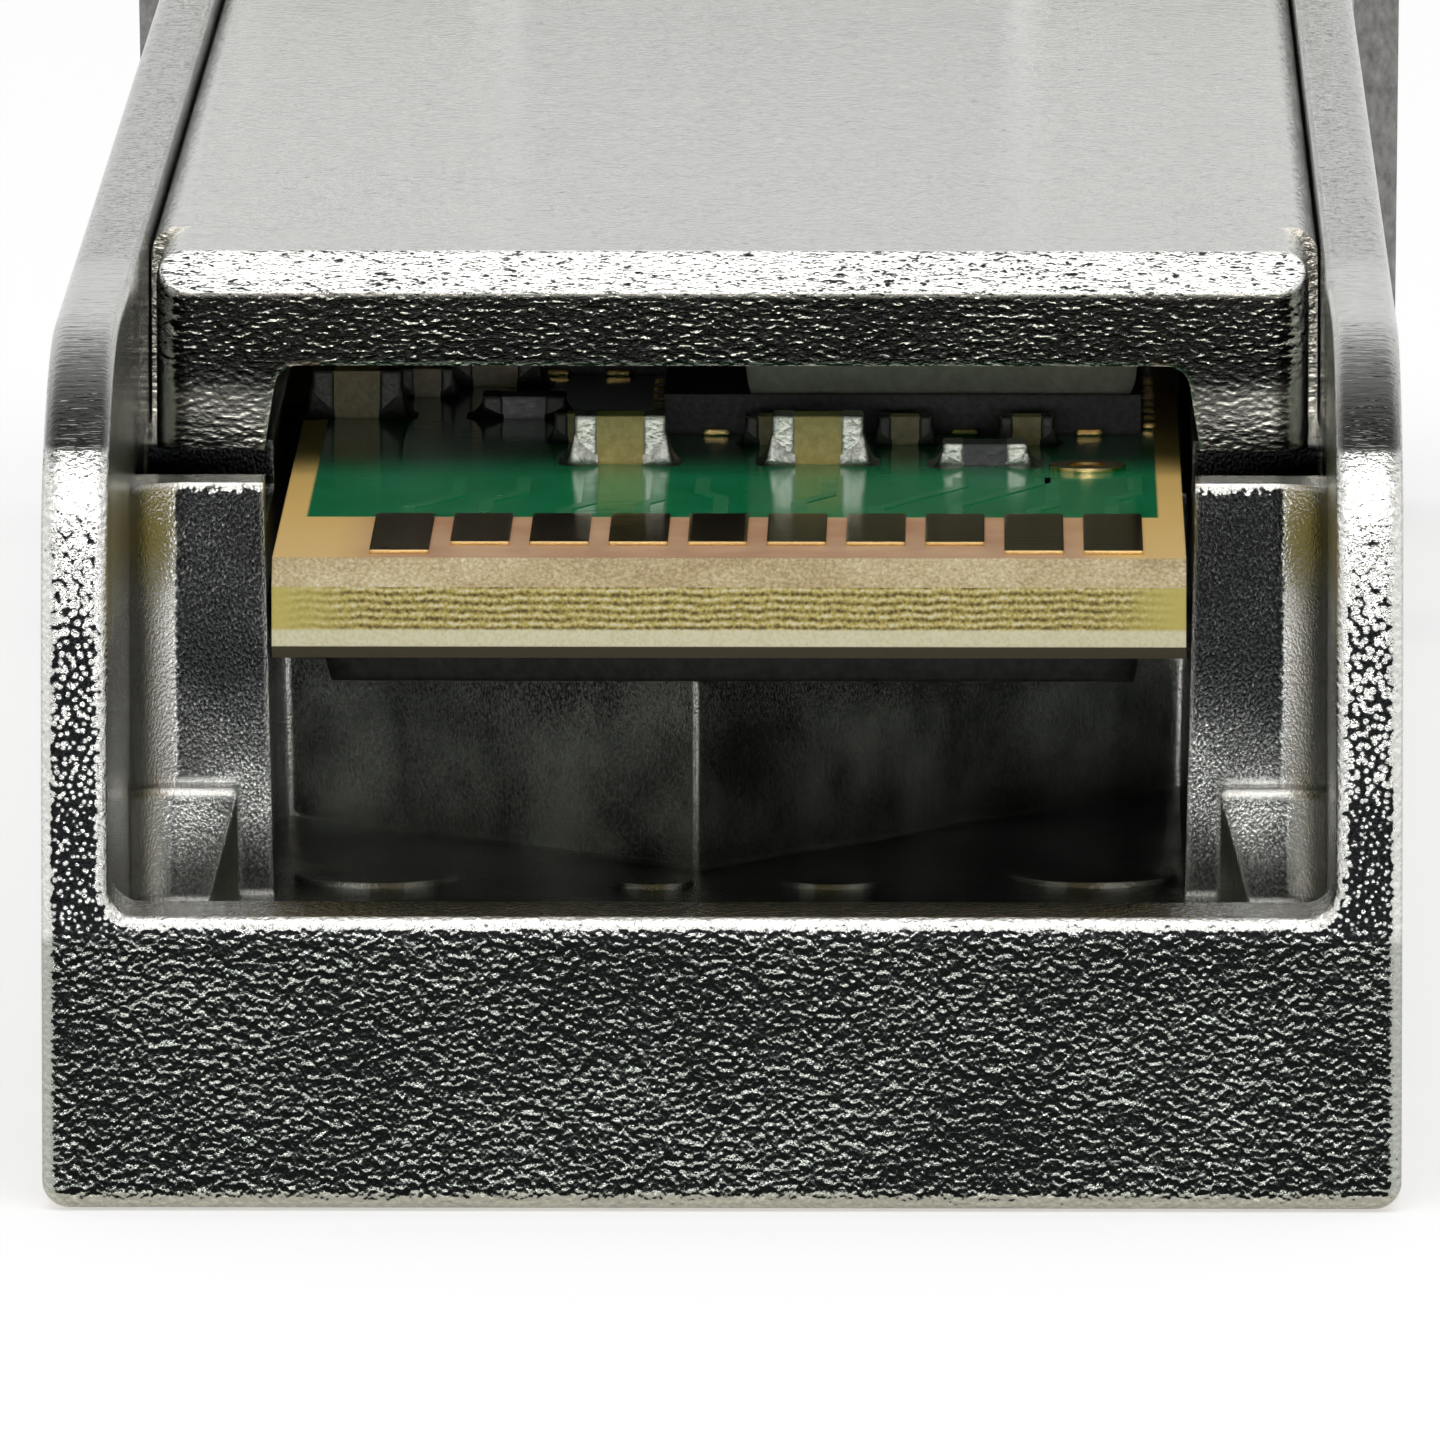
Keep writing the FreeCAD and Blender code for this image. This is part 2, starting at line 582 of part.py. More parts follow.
def channel_cut():
    """Inside of the cover: a channel with flared sides, open towards the board and at both ends."""
    half_low = CHANNEL_TOP_HALF + CHANNEL_FLARE
    drop = RAIL_TOP - PAST
    start = COVER_Y - PAST
    outline = [
        Vector(-half_low, start, RAIL_TOP),
        Vector(-CHANNEL_TOP_HALF, start, COVER_ROOF),
        Vector(CHANNEL_TOP_HALF, start, COVER_ROOF),
        Vector(half_low, start, RAIL_TOP),
        Vector(half_low, start, drop),
        Vector(-half_low, start, drop),
    ]
    face = Part.Face(Part.makePolygon(outline + outline[:1]))
    channel = face.extrude(Vector(0, LENGTH, 0))
    roof_corners = edges_where(channel, lambda b: runs_along(b, "y") and near(b.ZMin, COVER_ROOF))
    return channel.makeFillet(CHANNEL_RADIUS, roof_corners)


def screw_head(x, extra):
    """Countersunk head, flush with the cover."""
    depth = SCREW_HEAD_RADIUS - SCREW_RADIUS
    foot = Vector(x, SCREW_Y, COVER_TOP - depth)
    return Part.makeCone(SCREW_RADIUS + extra, SCREW_HEAD_RADIUS + extra, depth, foot)


def make_cover_screws():
    screws = []
    for side in (-1, 1):
        x = side * SCREW_X
        foot = Vector(x, SCREW_Y, COVER_TOP - SCREW_LENGTH)
        shank = Part.makeCylinder(SCREW_RADIUS, SCREW_LENGTH, foot)
        slot_floor = COVER_TOP - SCREW_SLOT_DEPTH
        slot = box(x - SCREW_HEAD_RADIUS, x + SCREW_HEAD_RADIUS, SCREW_Y - SCREW_SLOT_WIDTH / 2,
                   SCREW_Y + SCREW_SLOT_WIDTH / 2, slot_floor, REACH)
        screws.append(shank.fuse(screw_head(x, 0)).cut(slot))
    return Part.makeCompound(screws)


def make_circuit_board():
    half = BOARD_WIDTH / 2
    outline = [
        (BOARD_Y, BOARD_BOTTOM + LOWER_BEVEL),
        (BOARD_Y + LOWER_BEVEL, BOARD_BOTTOM),
        (BOARD_END, BOARD_BOTTOM),
        (BOARD_END, BOARD_TOP),
        (BOARD_Y + EDGE_BEVEL_DEPTH, BOARD_TOP),
        (BOARD_Y, BOARD_TOP - EDGE_BEVEL_HEIGHT),
    ]
    board = plate_yz(outline, half)
    board.translate(Vector(BOARD_OFFSET, 0, 0))
    hole_foot = Vector(VIA_X, COVER_Y + VIA_FROM_COVER, BOARD_BOTTOM)
    return board.cut(Part.makeCylinder(VIA_HOLE_RADIUS, BOARD_THICKNESS, hole_foot))


def make_contacts(bottom, long_ones):
    """Row of edge contacts. The long ones make first and break last."""
    first = BOARD_OFFSET + CONTACT_ROW_OFFSET - CONTACT_PITCH * (CONTACT_COUNT - 1) / 2
    contacts = []
    for number in range(CONTACT_COUNT):
        x = first + CONTACT_PITCH * number
        setback = CONTACT_SETBACK_LONG if number in long_ones else CONTACT_SETBACK_SHORT
        contacts.append(box(x - CONTACT_WIDTH / 2, x + CONTACT_WIDTH / 2, BOARD_Y + setback, CONTACT_END,
                            bottom, bottom + CONTACT_THICKNESS))
    return Part.makeCompound(contacts)


def make_ground_via():
    foot = Vector(VIA_X, COVER_Y + VIA_FROM_COVER, BOARD_TOP)
    ring = Part.makeCylinder(VIA_RADIUS, VIA_RIM, foot)
    return ring.cut(Part.makeCylinder(VIA_HOLE_RADIUS, VIA_RIM, foot))


def components(size, places):
    """Small parts of one size that stand on the board, at (x, y behind the cover's end)."""
    across, along, height = size
    solids = []
    for x, behind in places:
        y = COVER_Y + behind
        solids.append(box(x - across / 2, x + across / 2, y - along / 2, y + along / 2,
                          BOARD_TOP, BOARD_TOP + height))
    return Part.makeCompound(solids)


def make_lower_thermal_pad():
    left = -CHANNEL_HALF + LOWER_PAD_SIDE_GAP + SHELF_WIDTH / 2
    right = CHANNEL_HALF - LOWER_PAD_SIDE_GAP - SHELF_WIDTH / 2
    return box(left, right, LOWER_PAD_START, PEDESTAL_END - LOWER_PAD_END_GAP, PEDESTAL_HEIGHT, BOARD_BOTTOM)


def make_upper_thermal_pad():
    across, along, height = DRIVER_SIZE
    y = COVER_Y + DRIVER_FROM_COVER
    return box(DRIVER_X - across / 2 + UPPER_PAD_INSET, DRIVER_X + across / 2, y - along / 2, y + along / 2,
               BOARD_TOP + height, COVER_ROOF)


def make_optical_can(x):
    """Sealed can: header disc, cap and the lead pins behind it."""
    cap_end = HOLDER_START + CAP_LENGTH
    can = rod_y(HEADER_RADIUS, HEADER_START, HOLDER_START, x, AXIS_HEIGHT)
    can = can.fuse(rod_y(CAP_RADIUS, HOLDER_START, cap_end, x, AXIS_HEIGHT))
    for quarter in range(4):
        angle = math.radians(45 + 90 * quarter)
        pin_x = x + PIN_CIRCLE_RADIUS * math.cos(angle)
        pin_z = AXIS_HEIGHT + PIN_CIRCLE_RADIUS * math.sin(angle)
        pin_end = HEADER_START - HEADER_PIN_LENGTH
        can = can.fuse(rod_y(HEADER_PIN_RADIUS, pin_end, HEADER_START, pin_x, pin_z))
    return can.removeSplitter()


def make_optical_barrel(x):
    """Turned holder, clamp neck, flange and the barrel that takes a fibre ferrule."""
    cup = CAP_RADIUS + HOLDER_BORE_GAP
    cup_end = HOLDER_START + CAP_LENGTH + HOLDER_BORE_GAP
    bore_end = BARREL_TIP - FERRULE_BORE_DEPTH
    profile = [
        (HOLDER_START, cup),
        (HOLDER_START, HOLDER_RADIUS),
        (NECK_START, HOLDER_RADIUS),
        (NECK_START, NECK_RADIUS),
        (FLANGE_START, NECK_RADIUS),
        (FLANGE_START, FLANGE_RADIUS),
        (BULKHEAD_FACE, FLANGE_RADIUS),
        (BULKHEAD_FACE, BARREL_RADIUS),
        (BARREL_TIP, BARREL_RADIUS),
        (BARREL_TIP, FERRULE_BORE_RADIUS),
        (bore_end, FERRULE_BORE_RADIUS),
        (bore_end, 0),
        (cup_end, 0),
        (cup_end, cup),
    ]
    return turned(profile, x)


def make_flex(x):
    """Flexible lead strip, from the can's pins over the end of the board and along its face."""
    back = HEADER_START - HEADER_PIN_LENGTH
    top = BOARD_TOP + FLEX_THICKNESS
    low = AXIS_HEIGHT - HEADER_RADIUS
    outline = [
        (back, low),
        (back, top),
        (BOARD_END - FLEX_LAP, top),
        (BOARD_END - FLEX_LAP, BOARD_TOP),
        (back - FLEX_THICKNESS, BOARD_TOP),
        (back - FLEX_THICKNESS, low),
    ]
    strip = plate_yz(outline, CHANNEL_HALF - PORT_X - FLEX_SIDE_GAP)
    strip.translate(Vector(x, 0, 0))
    return strip


def make_optics_clamp():
    """Forked plate that drops over both necks and holds the flanges to the bulkhead."""
    middle = FLANGE_START - NECK_LENGTH / 2
    half = BAY_HALF - CLAMP_GAP
    y0 = middle - CLAMP_THICKNESS / 2
    y1 = middle + CLAMP_THICKNESS / 2
    plate = slab(half, y0, y1, BAY_FLOOR, RAIL_TOP)
    gap = NECK_RADIUS + CLAMP_GAP
    for side in (-1, 1):
        x = side * PORT_X
        plate = plate.cut(rod_y(gap, y0 - PAST, y1 + PAST, x, AXIS_HEIGHT))
        plate = plate.cut(box(x - gap, x + gap, y0 - PAST, y1 + PAST, BAY_FLOOR - PAST, AXIS_HEIGHT))
    return plate


def make_lc_receptacle():
    rear = STOP_Y + RECEPTACLE_GAP
    front = LENGTH - RECEPTACLE_SETBACK
    floor = NOSE_WALL + RECEPTACLE_GAP
    insert = slab(NOSE_BORE_HALF - RECEPTACLE_GAP, rear, front, floor, NOSE_BORE_TOP - RECEPTACLE_GAP)
    port_rear = rear + RECEPTACLE_REAR_WALL
    for side in (-1, 1):
        x = side * PORT_X
        port_floor = AXIS_HEIGHT - PORT_HALF
        slot_floor = floor + LATCH_SLOT_FLOOR
        catch_y = front - CATCH_FROM_FRONT
        cuts = [
            box(x - PORT_HALF, x + PORT_HALF, port_rear, LENGTH, port_floor, AXIS_HEIGHT + PORT_HALF),
            box(x - LATCH_SLOT_HALF, x + LATCH_SLOT_HALF, port_rear, LENGTH, slot_floor, AXIS_HEIGHT),
            box(x - CATCH_HALF, x + CATCH_HALF, catch_y - CATCH_LENGTH, catch_y, slot_floor, AXIS_HEIGHT),
            rod_y(BARREL_RADIUS + BARREL_GAP, rear - PAST, port_rear + PAST, x, AXIS_HEIGHT),
        ]
        for cut in cuts:
            insert = insert.cut(cut)
    return insert.removeSplitter()


def make_finger():
    """One spring finger: a strip that rises out of the band to a flat crown and falls to its tip."""
    root = STOP_Y - COLLAR_CLEARANCE - COLLAR_BAND
    tip = COLLAR_START + COLLAR_CLEARANCE
    crown_start = (root + tip - FINGER_CROWN_LENGTH) / 2
    crown_end = (root + tip + FINGER_CROWN_LENGTH) / 2
    upper = [
        (tip, COLLAR_SHEET),
        (crown_start, COLLAR_CROWN),
        (crown_end, COLLAR_CROWN),
        (root, COLLAR_SHEET),
    ]
    lower = [(y, z - COLLAR_SHEET) for y, z in reversed(upper)]
    return plate_yz(upper + lower, FINGER_WIDTH / 2)


def row_places(count):
    """Finger centres of one row, spread about zero."""
    return [FINGER_PITCH * (number - (count - 1) / 2) for number in range(count)]


def make_emi_collar():
    """Sheet collar: a band against the stop shoulder and rows of spring fingers on all four sides."""
    half = HALF_BODY - COLLAR_RECESS
    low = COLLAR_CROWN
    high = BODY_HEIGHT - COLLAR_RECESS
    band_end = STOP_Y - COLLAR_CLEARANCE
    band_start = band_end - COLLAR_BAND
    outer = slab(half + COLLAR_SHEET, band_start, band_end, low - COLLAR_SHEET, high + COLLAR_SHEET)
    inner = slab(half, band_start, band_end, low, high)
    opening = slab(CAVITY_HALF + EAR_GAP, band_start, band_end, high - PAST, REACH)
    collar = outer.cut(inner).cut(opening)
    finger = make_finger()
    fingers = []
    hood_count = int((2 * half) // FINGER_PITCH)
    for x in row_places(hood_count):
        one = finger.copy()
        one.rotate(Vector(0, 0, 0), Vector(0, 1, 0), 180)
        one.translate(Vector(x, 0, low))
        fingers.append(one)
    side_count = int((high - low) // FINGER_PITCH)
    for z in row_places(side_count):
        one = finger.copy()
        one.rotate(Vector(0, 0, 0), Vector(0, 1, 0), 90)
        one.translate(Vector(half, 0, (low + high) / 2 + z))
        fingers += both_sides(one)
    top_middle = (CAVITY_HALF + EAR_GAP + half) / 2
    one = finger.copy()
    one.translate(Vector(top_middle, 0, high))
    fingers += both_sides(one)
    return collar.fuse(fingers).removeSplitter()


def swung(shape):
    """Piece of the bail, drawn with its legs along Y from the pin, swung to where the closed bail hangs."""
    drop = math.degrees(math.atan2(BAIL_BAR_Z - PIVOT_Z, BAIL_BAR_Y - BAIL_Y))
    shape.rotate(Vector(0, 0, 0), Vector(1, 0, 0), drop)
    shape.translate(Vector(0, BAIL_Y, PIVOT_Z))
    return shape


def bail_reach():
    """From the bail's pins to the middle of its bar."""
    return math.hypot(BAIL_BAR_Y - BAIL_Y, BAIL_BAR_Z - PIVOT_Z)


def make_bail():
    """Bail bent from strip: a leg with a round end on each side of the nose, a bar across and two pins."""
    inside = HALF_NOSE + BAIL_SIDE_GAP
    outside = inside + BAIL_SHEET
    half_strip = BAIL_STRIP / 2
    outer_end = bail_reach() + BAIL_SHEET / 2
    outer = slab(outside, 0, outer_end, -half_strip, half_strip)
    bends = edges_where(outer, lambda b: runs_along(b, "z") and near(b.YMin, outer_end))
    outer = outer.makeFillet(BAIL_CORNER_BEND, bends)
    inner_end = outer_end - BAIL_SHEET
    inner = slab(inside, -BAIL_STRIP, inner_end, -BAIL_STRIP, BAIL_STRIP)
    bends = edges_where(inner, lambda b: runs_along(b, "z") and near(b.YMin, inner_end))
    inner = inner.makeFillet(BAIL_CORNER_BEND - BAIL_SHEET, bends)
    pin_start = CAVITY_HALF - BAIL_PIN_INSET
    across = Vector(1, 0, 0)
    eye = Part.makeCylinder(half_strip, BAIL_SHEET, Vector(inside, 0, 0), across)
    pin = Part.makeCylinder(BAIL_PIN_RADIUS, outside - pin_start, Vector(pin_start, 0, 0), across)
    bail = outer.cut(inner).fuse(both_sides(eye) + both_sides(pin))
    return swung(bail.removeSplitter())


def make_bail_grip():
    """Moulded sleeve round the bail's bar, with rounded long edges."""
    middle = bail_reach()
    half_depth = BAIL_SHEET / 2 + GRIP_WALL
    half_height = BAIL_STRIP / 2 + GRIP_WALL
    sleeve = slab(GRIP_HALF, middle - half_depth, middle + half_depth, -half_height, half_height)
    sleeve = sleeve.makeFillet(GRIP_EDGE_RADIUS, edges_where(sleeve, lambda b: runs_along(b, "x")))
    half_depth = BAIL_SHEET / 2 + PRESS_GAP
    half_height = BAIL_STRIP / 2 + PRESS_GAP
    bar = slab(REACH, middle - half_depth, middle + half_depth, -half_height, half_height)
    return swung(sleeve.cut(bar))


def make_latch_cam():
    """Eccentric sleeve between the bail's two pins, thrown forwards while the bail is closed."""
    cam = rod_x(CAM_RADIUS, CAVITY_HALF - CAM_END_GAP, BAIL_Y + CAM_THROW, PIVOT_Z)
    return cam.cut(rod_x(BAIL_PIN_RADIUS + PRESS_GAP, REACH, BAIL_Y, PIVOT_Z))


def make_latch_rocker():
    """Rocking latch: boss arm at the rear, hub on its pin, and an arm that the cam lifts."""
    bottom = ROCKER_TOP - ROCKER_THICKNESS
    arm_end = BAIL_Y + CAM_RADIUS + CAM_THROW
    side_view = [
        (ROCKER_REAR, bottom),
        (PIVOT_Y, bottom),
        (PIVOT_Y + ROCKER_HUB_RADIUS, PIVOT_Z),
        (PIVOT_Y + 2 * ROCKER_HUB_RADIUS, ARM_BOTTOM),
        (arm_end, ARM_BOTTOM),
        (arm_end, ARM_BOTTOM + ROCKER_ARM_THICKNESS),
        (PIVOT_Y, ARM_BOTTOM + ROCKER_ARM_THICKNESS),
        (PIVOT_Y - 2 * ROCKER_HUB_RADIUS, ROCKER_TOP),
        (ROCKER_REAR, ROCKER_TOP),
    ]
    rocker = plate_yz(side_view, ROCKER_HALF)
    rocker = rocker.fuse(rod_x(ROCKER_HUB_RADIUS, ROCKER_HALF, PIVOT_Y, PIVOT_Z))
    boss_top = BODY_HEIGHT + BOSS_HEIGHT
    boss = plate_yz([
        (BOSS_START, ROCKER_TOP - BITE),
        (BOSS_START, ROCKER_TOP),
        (BOSS_START + BOSS_RAMP, boss_top),
        (LATCH_SHOULDER, boss_top),
        (LATCH_SHOULDER, ROCKER_TOP - BITE),
    ], BOSS_WIDTH / 2)
    rocker = rocker.fuse(boss)
    return rocker.cut(rod_x(PIVOT_RADIUS + PIVOT_CLEARANCE, REACH, PIVOT_Y, PIVOT_Z)).removeSplitter()


def make_rocker_pin():
    return rod_x(PIVOT_RADIUS, CAVITY_HALF + PIVOT_PIN_GRIP - PIVOT_CLEARANCE, PIVOT_Y, PIVOT_Z)


def make_latch_spring():
    """Leaf spring under the boss arm: a foot on the cavity's floor and a tongue bent up from it."""
    start = SPRING_START
    foot_end = start - SPRING_FOOT
    tip = start - SPRING_LENGTH
    floor = LATCH_CAVITY_FLOOR
    outline = [
        (start, floor),
        (start, floor + SPRING_SHEET),
        (foot_end, floor + SPRING_SHEET),
        (tip, floor + SPRING_SHEET + SPRING_RISE),
        (tip, floor + SPRING_RISE),
        (foot_end, floor),
    ]
    return plate_yz(outline, SPRING_HALF)


parts = {
    "housing": make_housing(),
    "bottom_cover": make_bottom_cover(),
    "cover_screws": make_cover_screws(),
    "circuit_board": make_circuit_board(),
    "upper_contacts": make_contacts(BOARD_TOP, UPPER_LONG_CONTACTS),
    "lower_contacts": make_contacts(BOARD_BOTTOM - CONTACT_THICKNESS, LOWER_LONG_CONTACTS),
    "ground_via": make_ground_via(),
    "capacitors": components(CAPACITOR_SIZE, CAPACITOR_PLACES),
    "resistors": components(RESISTOR_SIZE, RESISTOR_PLACES),
    "small_capacitors": components(SMALL_CAPACITOR_SIZE, SMALL_CAPACITOR_PLACES),
    "inductors": components(INDUCTOR_SIZE, INDUCTOR_PLACES),
    "driver_chip": components(DRIVER_SIZE, [(DRIVER_X, DRIVER_FROM_COVER)]),
    "controller_chip": components(CONTROLLER_SIZE, [(0, CONTROLLER_FROM_COVER)]),
    "upper_thermal_pad": make_upper_thermal_pad(),
    "lower_thermal_pad": make_lower_thermal_pad(),
    "transmitter_can": make_optical_can(-PORT_X),
    "transmitter_barrel": make_optical_barrel(-PORT_X),
    "transmitter_flex": make_flex(-PORT_X),
    "receiver_can": make_optical_can(PORT_X),
    "receiver_barrel": make_optical_barrel(PORT_X),
    "receiver_flex": make_flex(PORT_X),
    "optics_clamp": make_optics_clamp(),
    "lc_receptacle": make_lc_receptacle(),
    "emi_collar": make_emi_collar(),
    "bail": make_bail(),
    "bail_grip": make_bail_grip(),
    "latch_cam": make_latch_cam(),
    "latch_rocker": make_latch_rocker(),
    "rocker_pin": make_rocker_pin(),
    "latch_spring": make_latch_spring(),
}

os.makedirs("parts", exist_ok=True)
for name, shape in parts.items():
    shape.translate(Vector(0, -LENGTH / 2, 0))
    shape.exportStep("parts/" + name + ".step")
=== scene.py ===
import bmesh
import bpy
import json
import math
from mathutils import Matrix, Vector, noise


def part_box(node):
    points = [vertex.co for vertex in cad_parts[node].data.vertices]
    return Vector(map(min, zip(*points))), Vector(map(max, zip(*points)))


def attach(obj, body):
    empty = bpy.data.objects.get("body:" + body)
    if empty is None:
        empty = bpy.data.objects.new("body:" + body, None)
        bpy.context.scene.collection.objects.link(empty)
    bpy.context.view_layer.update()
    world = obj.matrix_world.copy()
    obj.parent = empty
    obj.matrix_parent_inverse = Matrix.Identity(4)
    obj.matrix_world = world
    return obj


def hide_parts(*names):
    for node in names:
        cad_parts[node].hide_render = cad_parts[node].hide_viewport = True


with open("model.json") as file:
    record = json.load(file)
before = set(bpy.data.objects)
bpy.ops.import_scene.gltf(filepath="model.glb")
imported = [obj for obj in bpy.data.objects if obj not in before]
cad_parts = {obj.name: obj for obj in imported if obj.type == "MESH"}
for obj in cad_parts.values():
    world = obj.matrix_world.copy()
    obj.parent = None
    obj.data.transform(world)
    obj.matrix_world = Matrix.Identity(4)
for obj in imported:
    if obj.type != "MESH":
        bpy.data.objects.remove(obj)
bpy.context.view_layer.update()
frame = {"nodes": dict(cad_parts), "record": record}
nodes = frame["nodes"]

# Every size is in metres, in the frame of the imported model: x across, y along, z up.
MM = 0.001
REAR_Y = -28.25 * MM

# Camera, fitted to the photograph
CAMERA_AZIMUTH = math.radians(0.607)
CAMERA_ELEVATION = math.radians(7.51)
CAMERA_DISTANCE = 249.645 * MM
CAMERA_TARGET = Vector((-0.015 * MM, REAR_Y, 4.93 * MM))
CAMERA_CLIP_START = 10.0 * MM
SENSOR_WIDTH_MM = 36.0
FOCAL_LENGTH_MM = 628.22

# Stage: the floor, the world and the cards round the part, which the camera doesn't see
WHITE = (1.0, 1.0, 1.0, 1.0)
FLOOR_HALF = 4.0
FLOOR_DROP = 0.02 * MM
FLOOR_COLOUR = (0.82, 0.82, 0.82, 1.0)
FLOOR_GLOW = 0.42
WORLD_FILL = 0.45
CARD_COLOUR = (0.03, 0.03, 0.03, 1.0)
ROOM_HALF = 0.9
ROOM_HEIGHT = 0.82
ROOM_BACK_Y = 1.5
CEILING_START_Y = 0.36
CEILING_GLOW = 0.33
WALL_GLOW = 0.8
TOP_FLAG_HALF = 0.6
TOP_FLAG_START_Y = 0.14
FRONT_FLAG_Y = -1.0
FRONT_FLAG_LOW = 0.09
FRONT_FLAG_HIGH = 0.6

# Casting: edges of the mouth at its rear end
LIP_TOP = 2.94 * MM
MOUTH_HALF = 6.11 * MM
MOUTH_CORNER = 0.3 * MM

# Casting: where the grain and the painted light and shade start to change and where the change is complete,
# along x, y or z
CAVITY_START_Y = (REAR_Y + 1.0 * MM, REAR_Y + 2.0 * MM)
CAVITY_END_Y = (REAR_Y + 43.0 * MM, REAR_Y + 42.9 * MM)
CAVITY_FLOOR_Z = (0.5 * MM, 0.6 * MM)
CAVITY_SIDE_X = (MOUTH_HALF + 0.1 * MM, MOUTH_HALF)
SKIRT_X = (MOUTH_HALF - 0.1 * MM, MOUTH_HALF)
SKIRT_FOOT_Z = (LIP_TOP - 0.3 * MM, LIP_TOP)
SKIRT_GREY_Z = (3.95 * MM, 4.3 * MM)
SKIRT_WHITE_Z = (5.5 * MM, 6.7 * MM)
RIM_REACH = (MOUTH_CORNER + 0.144 * MM, MOUTH_CORNER + 0.096 * MM)
OUTER_EDGE_X = (6.62 * MM, 6.7 * MM)
BOTTOM_EDGE_Z = (0.2 * MM, 0.1 * MM)
LOWER_HOOD_Z = (1.8 * MM, 1.2 * MM)
REAR_EDGE_Y = (REAR_Y + 0.9 * MM, REAR_Y + 0.7 * MM)
POST_Z = (3.2 * MM, 4.8 * MM)
POST_EDGE_Z = (6.45 * MM, 6.53 * MM)
POST_EDGE_UNEVEN = 0.36 * MM
INNER_FLOOR_Z = (2.3 * MM, 2.16 * MM)
INNER_FLOOR_DARK_Y = (REAR_Y + 6.0 * MM, REAR_Y + 7.0 * MM)
BEHIND_POSTS_Y = (REAR_Y + 8.1 * MM, REAR_Y + 8.4 * MM)
RAIL_X = (4.7 * MM, 4.75 * MM)
RAIL_Z = (6.4 * MM, 6.36 * MM)
INNER_CONTRAST_Z = (3.2 * MM, 4.6 * MM)
LEAD_IN_Z = (7.48 * MM, 7.56 * MM)
LEAD_IN_Y = (REAR_Y + 10.0 * MM, REAR_Y + 8.0 * MM)
LEAD_IN_FOOT_Z = (8.7 * MM, 7.6 * MM)
FORWARD_Y = (REAR_Y + 8.0 * MM, REAR_Y + 10.0 * MM)
HOOD_END_Z = (LIP_TOP - 0.15 * MM, LIP_TOP - 0.3 * MM)
HOOD_END_Y = (REAR_Y + 0.3 * MM, REAR_Y + 0.1 * MM)
UNDERSIDE_Z = (0.25 * MM, 0.12 * MM)
COVER_LEG_Z = (7.3 * MM, 6.9 * MM)
COVER_CALM_Z = (7.5 * MM, 6.9 * MM)
COVER_SHOULDER_Y = (REAR_Y + 11.5 * MM, REAR_Y + 12.0 * MM)

# Casting: how squarely a face has to point one way, from not enough to fully
REAR_FACING = (0.8, 0.96)
POST_FACING = (0.94, 0.99)
SIDE_FACING = (0.8, 0.95)
TOP_FACING = (0.9, 0.98)

# Casting: what each place adds to the tone, as painted light and shade, from painted shade in hollows and on
# rear faces near 0 to painted highlights on edges near 1
OUTSIDE_TONE = 0.34
REAR_EDGE_TONE = 0.55
RIM_TONE = 0.4
OUTER_EDGE_TONE = 0.35
LOWER_HOOD_TONE = 0.012
SKIRT_TONE = -0.095
SKIRT_GREY_LEFT = 0.17
SKIRT_GREY_RIGHT = 0.22
SKIRT_WHITE_TONE = 0.35
POST_FOOT_TONE = 0.135
POST_HEAD_TONE = 0.0
POST_EDGE_TONE = 0.5
INNER_TONE = 0.5
DEEP_TONE = 0.16
RAIL_TONE = -0.1
COVER_END_TONE = -0.09
COVER_LEG_TONE = 0.195
COVER_SHOULDER_TONE = 0.6
CLOUD_TONE = 0.2
EDGE_TONE = 1.5

# Casting: painted highlight spots on the skirts' ends: tone in their middle, its fall from there and their
# share of grain
SPOT_TONE = 0.46
SPOT_FALL = -1.1
SPOT_GRAIN = 0.8

# Casting: how much of the grain's contrast and depth, and of the painted shade on the floor, each place keeps
INNER_FLOOR_NEAR = 0.6
LEAD_IN_CONTRAST = 0.6
LEAD_IN_DEPTH = 0.5
INNER_LOW_CONTRAST = 0.12
INNER_HIGH_CONTRAST = 0.5
INNER_DEPTH = 0.3
COVER_TOP_CALM = 0.45
COVER_LEG_CALM = 0.15

# Casting: cells of grain in a metre along each axis, and how their rows are turned
HOOD_GRAIN = (12400.0, 12400.0, 16000.0)
MOUTH_GRAIN = (34000.0, 34000.0, 25000.0)
LEAD_IN_GRAIN = (3200.0, 15000.0, 17000.0)
COVER_GRAIN = (8100.0, 12600.0, 19800.0)
MOUTH_GRAIN_TURN = (0.0, 0.5, 0.0)
COVER_GRAIN_TURN = (0.0, -0.05, 0.0)
UPRIGHT = (math.pi / 2.0, 0.0, 0.0)
UNSTRETCHED = (1.0, 1.0, 1.0)
SPOTS_PER_METRE = 13500.0
CLOUDS_PER_METRE = 700.0
POST_EDGE_CELLS = 12000.0

# Casting: how the grain's slope (drawn as painted highlight and shade), roughness and depth are drawn, and
# the width of the rounded edges, which are painted lighter as highlights
GRAIN_STEP = 0.47
GRAIN_SLOPE = 1.5
GRAIN_ROUGHNESS = 0.55
GRAIN_DEPTH = 0.03 * MM
EDGE_RADIUS = 0.09 * MM

# Casting: colour at each tone, from painted shade to painted highlight, and the painted shades that darken it
# where less light falls, with a painted warm reflection on the underside
PLATING = [(0.06, (0.012, 0.0125, 0.013)), (0.16, (0.037, 0.0385, 0.039)), (0.22, (0.122, 0.125, 0.121)),
           (0.3, (0.6, 0.61, 0.585)), (0.6, (0.68, 0.67, 0.63)), (0.85, (0.86, 0.85, 0.82))]
PLATING_ROUGHNESS = 0.16
SIDE_PAINTED_SHADE = (0.74, 0.74, 0.73)
HOOD_PAINTED_SHADE = (0.58, 0.61, 0.575)
LEAD_IN_PAINTED_SHADE = (0.2, 0.2, 0.2)
UNDERSIDE_PAINTED_REFLECTION = (1.0, 0.93, 0.86)
COVER_END_PAINTED_SHADE = (0.9, 0.87, 0.79)

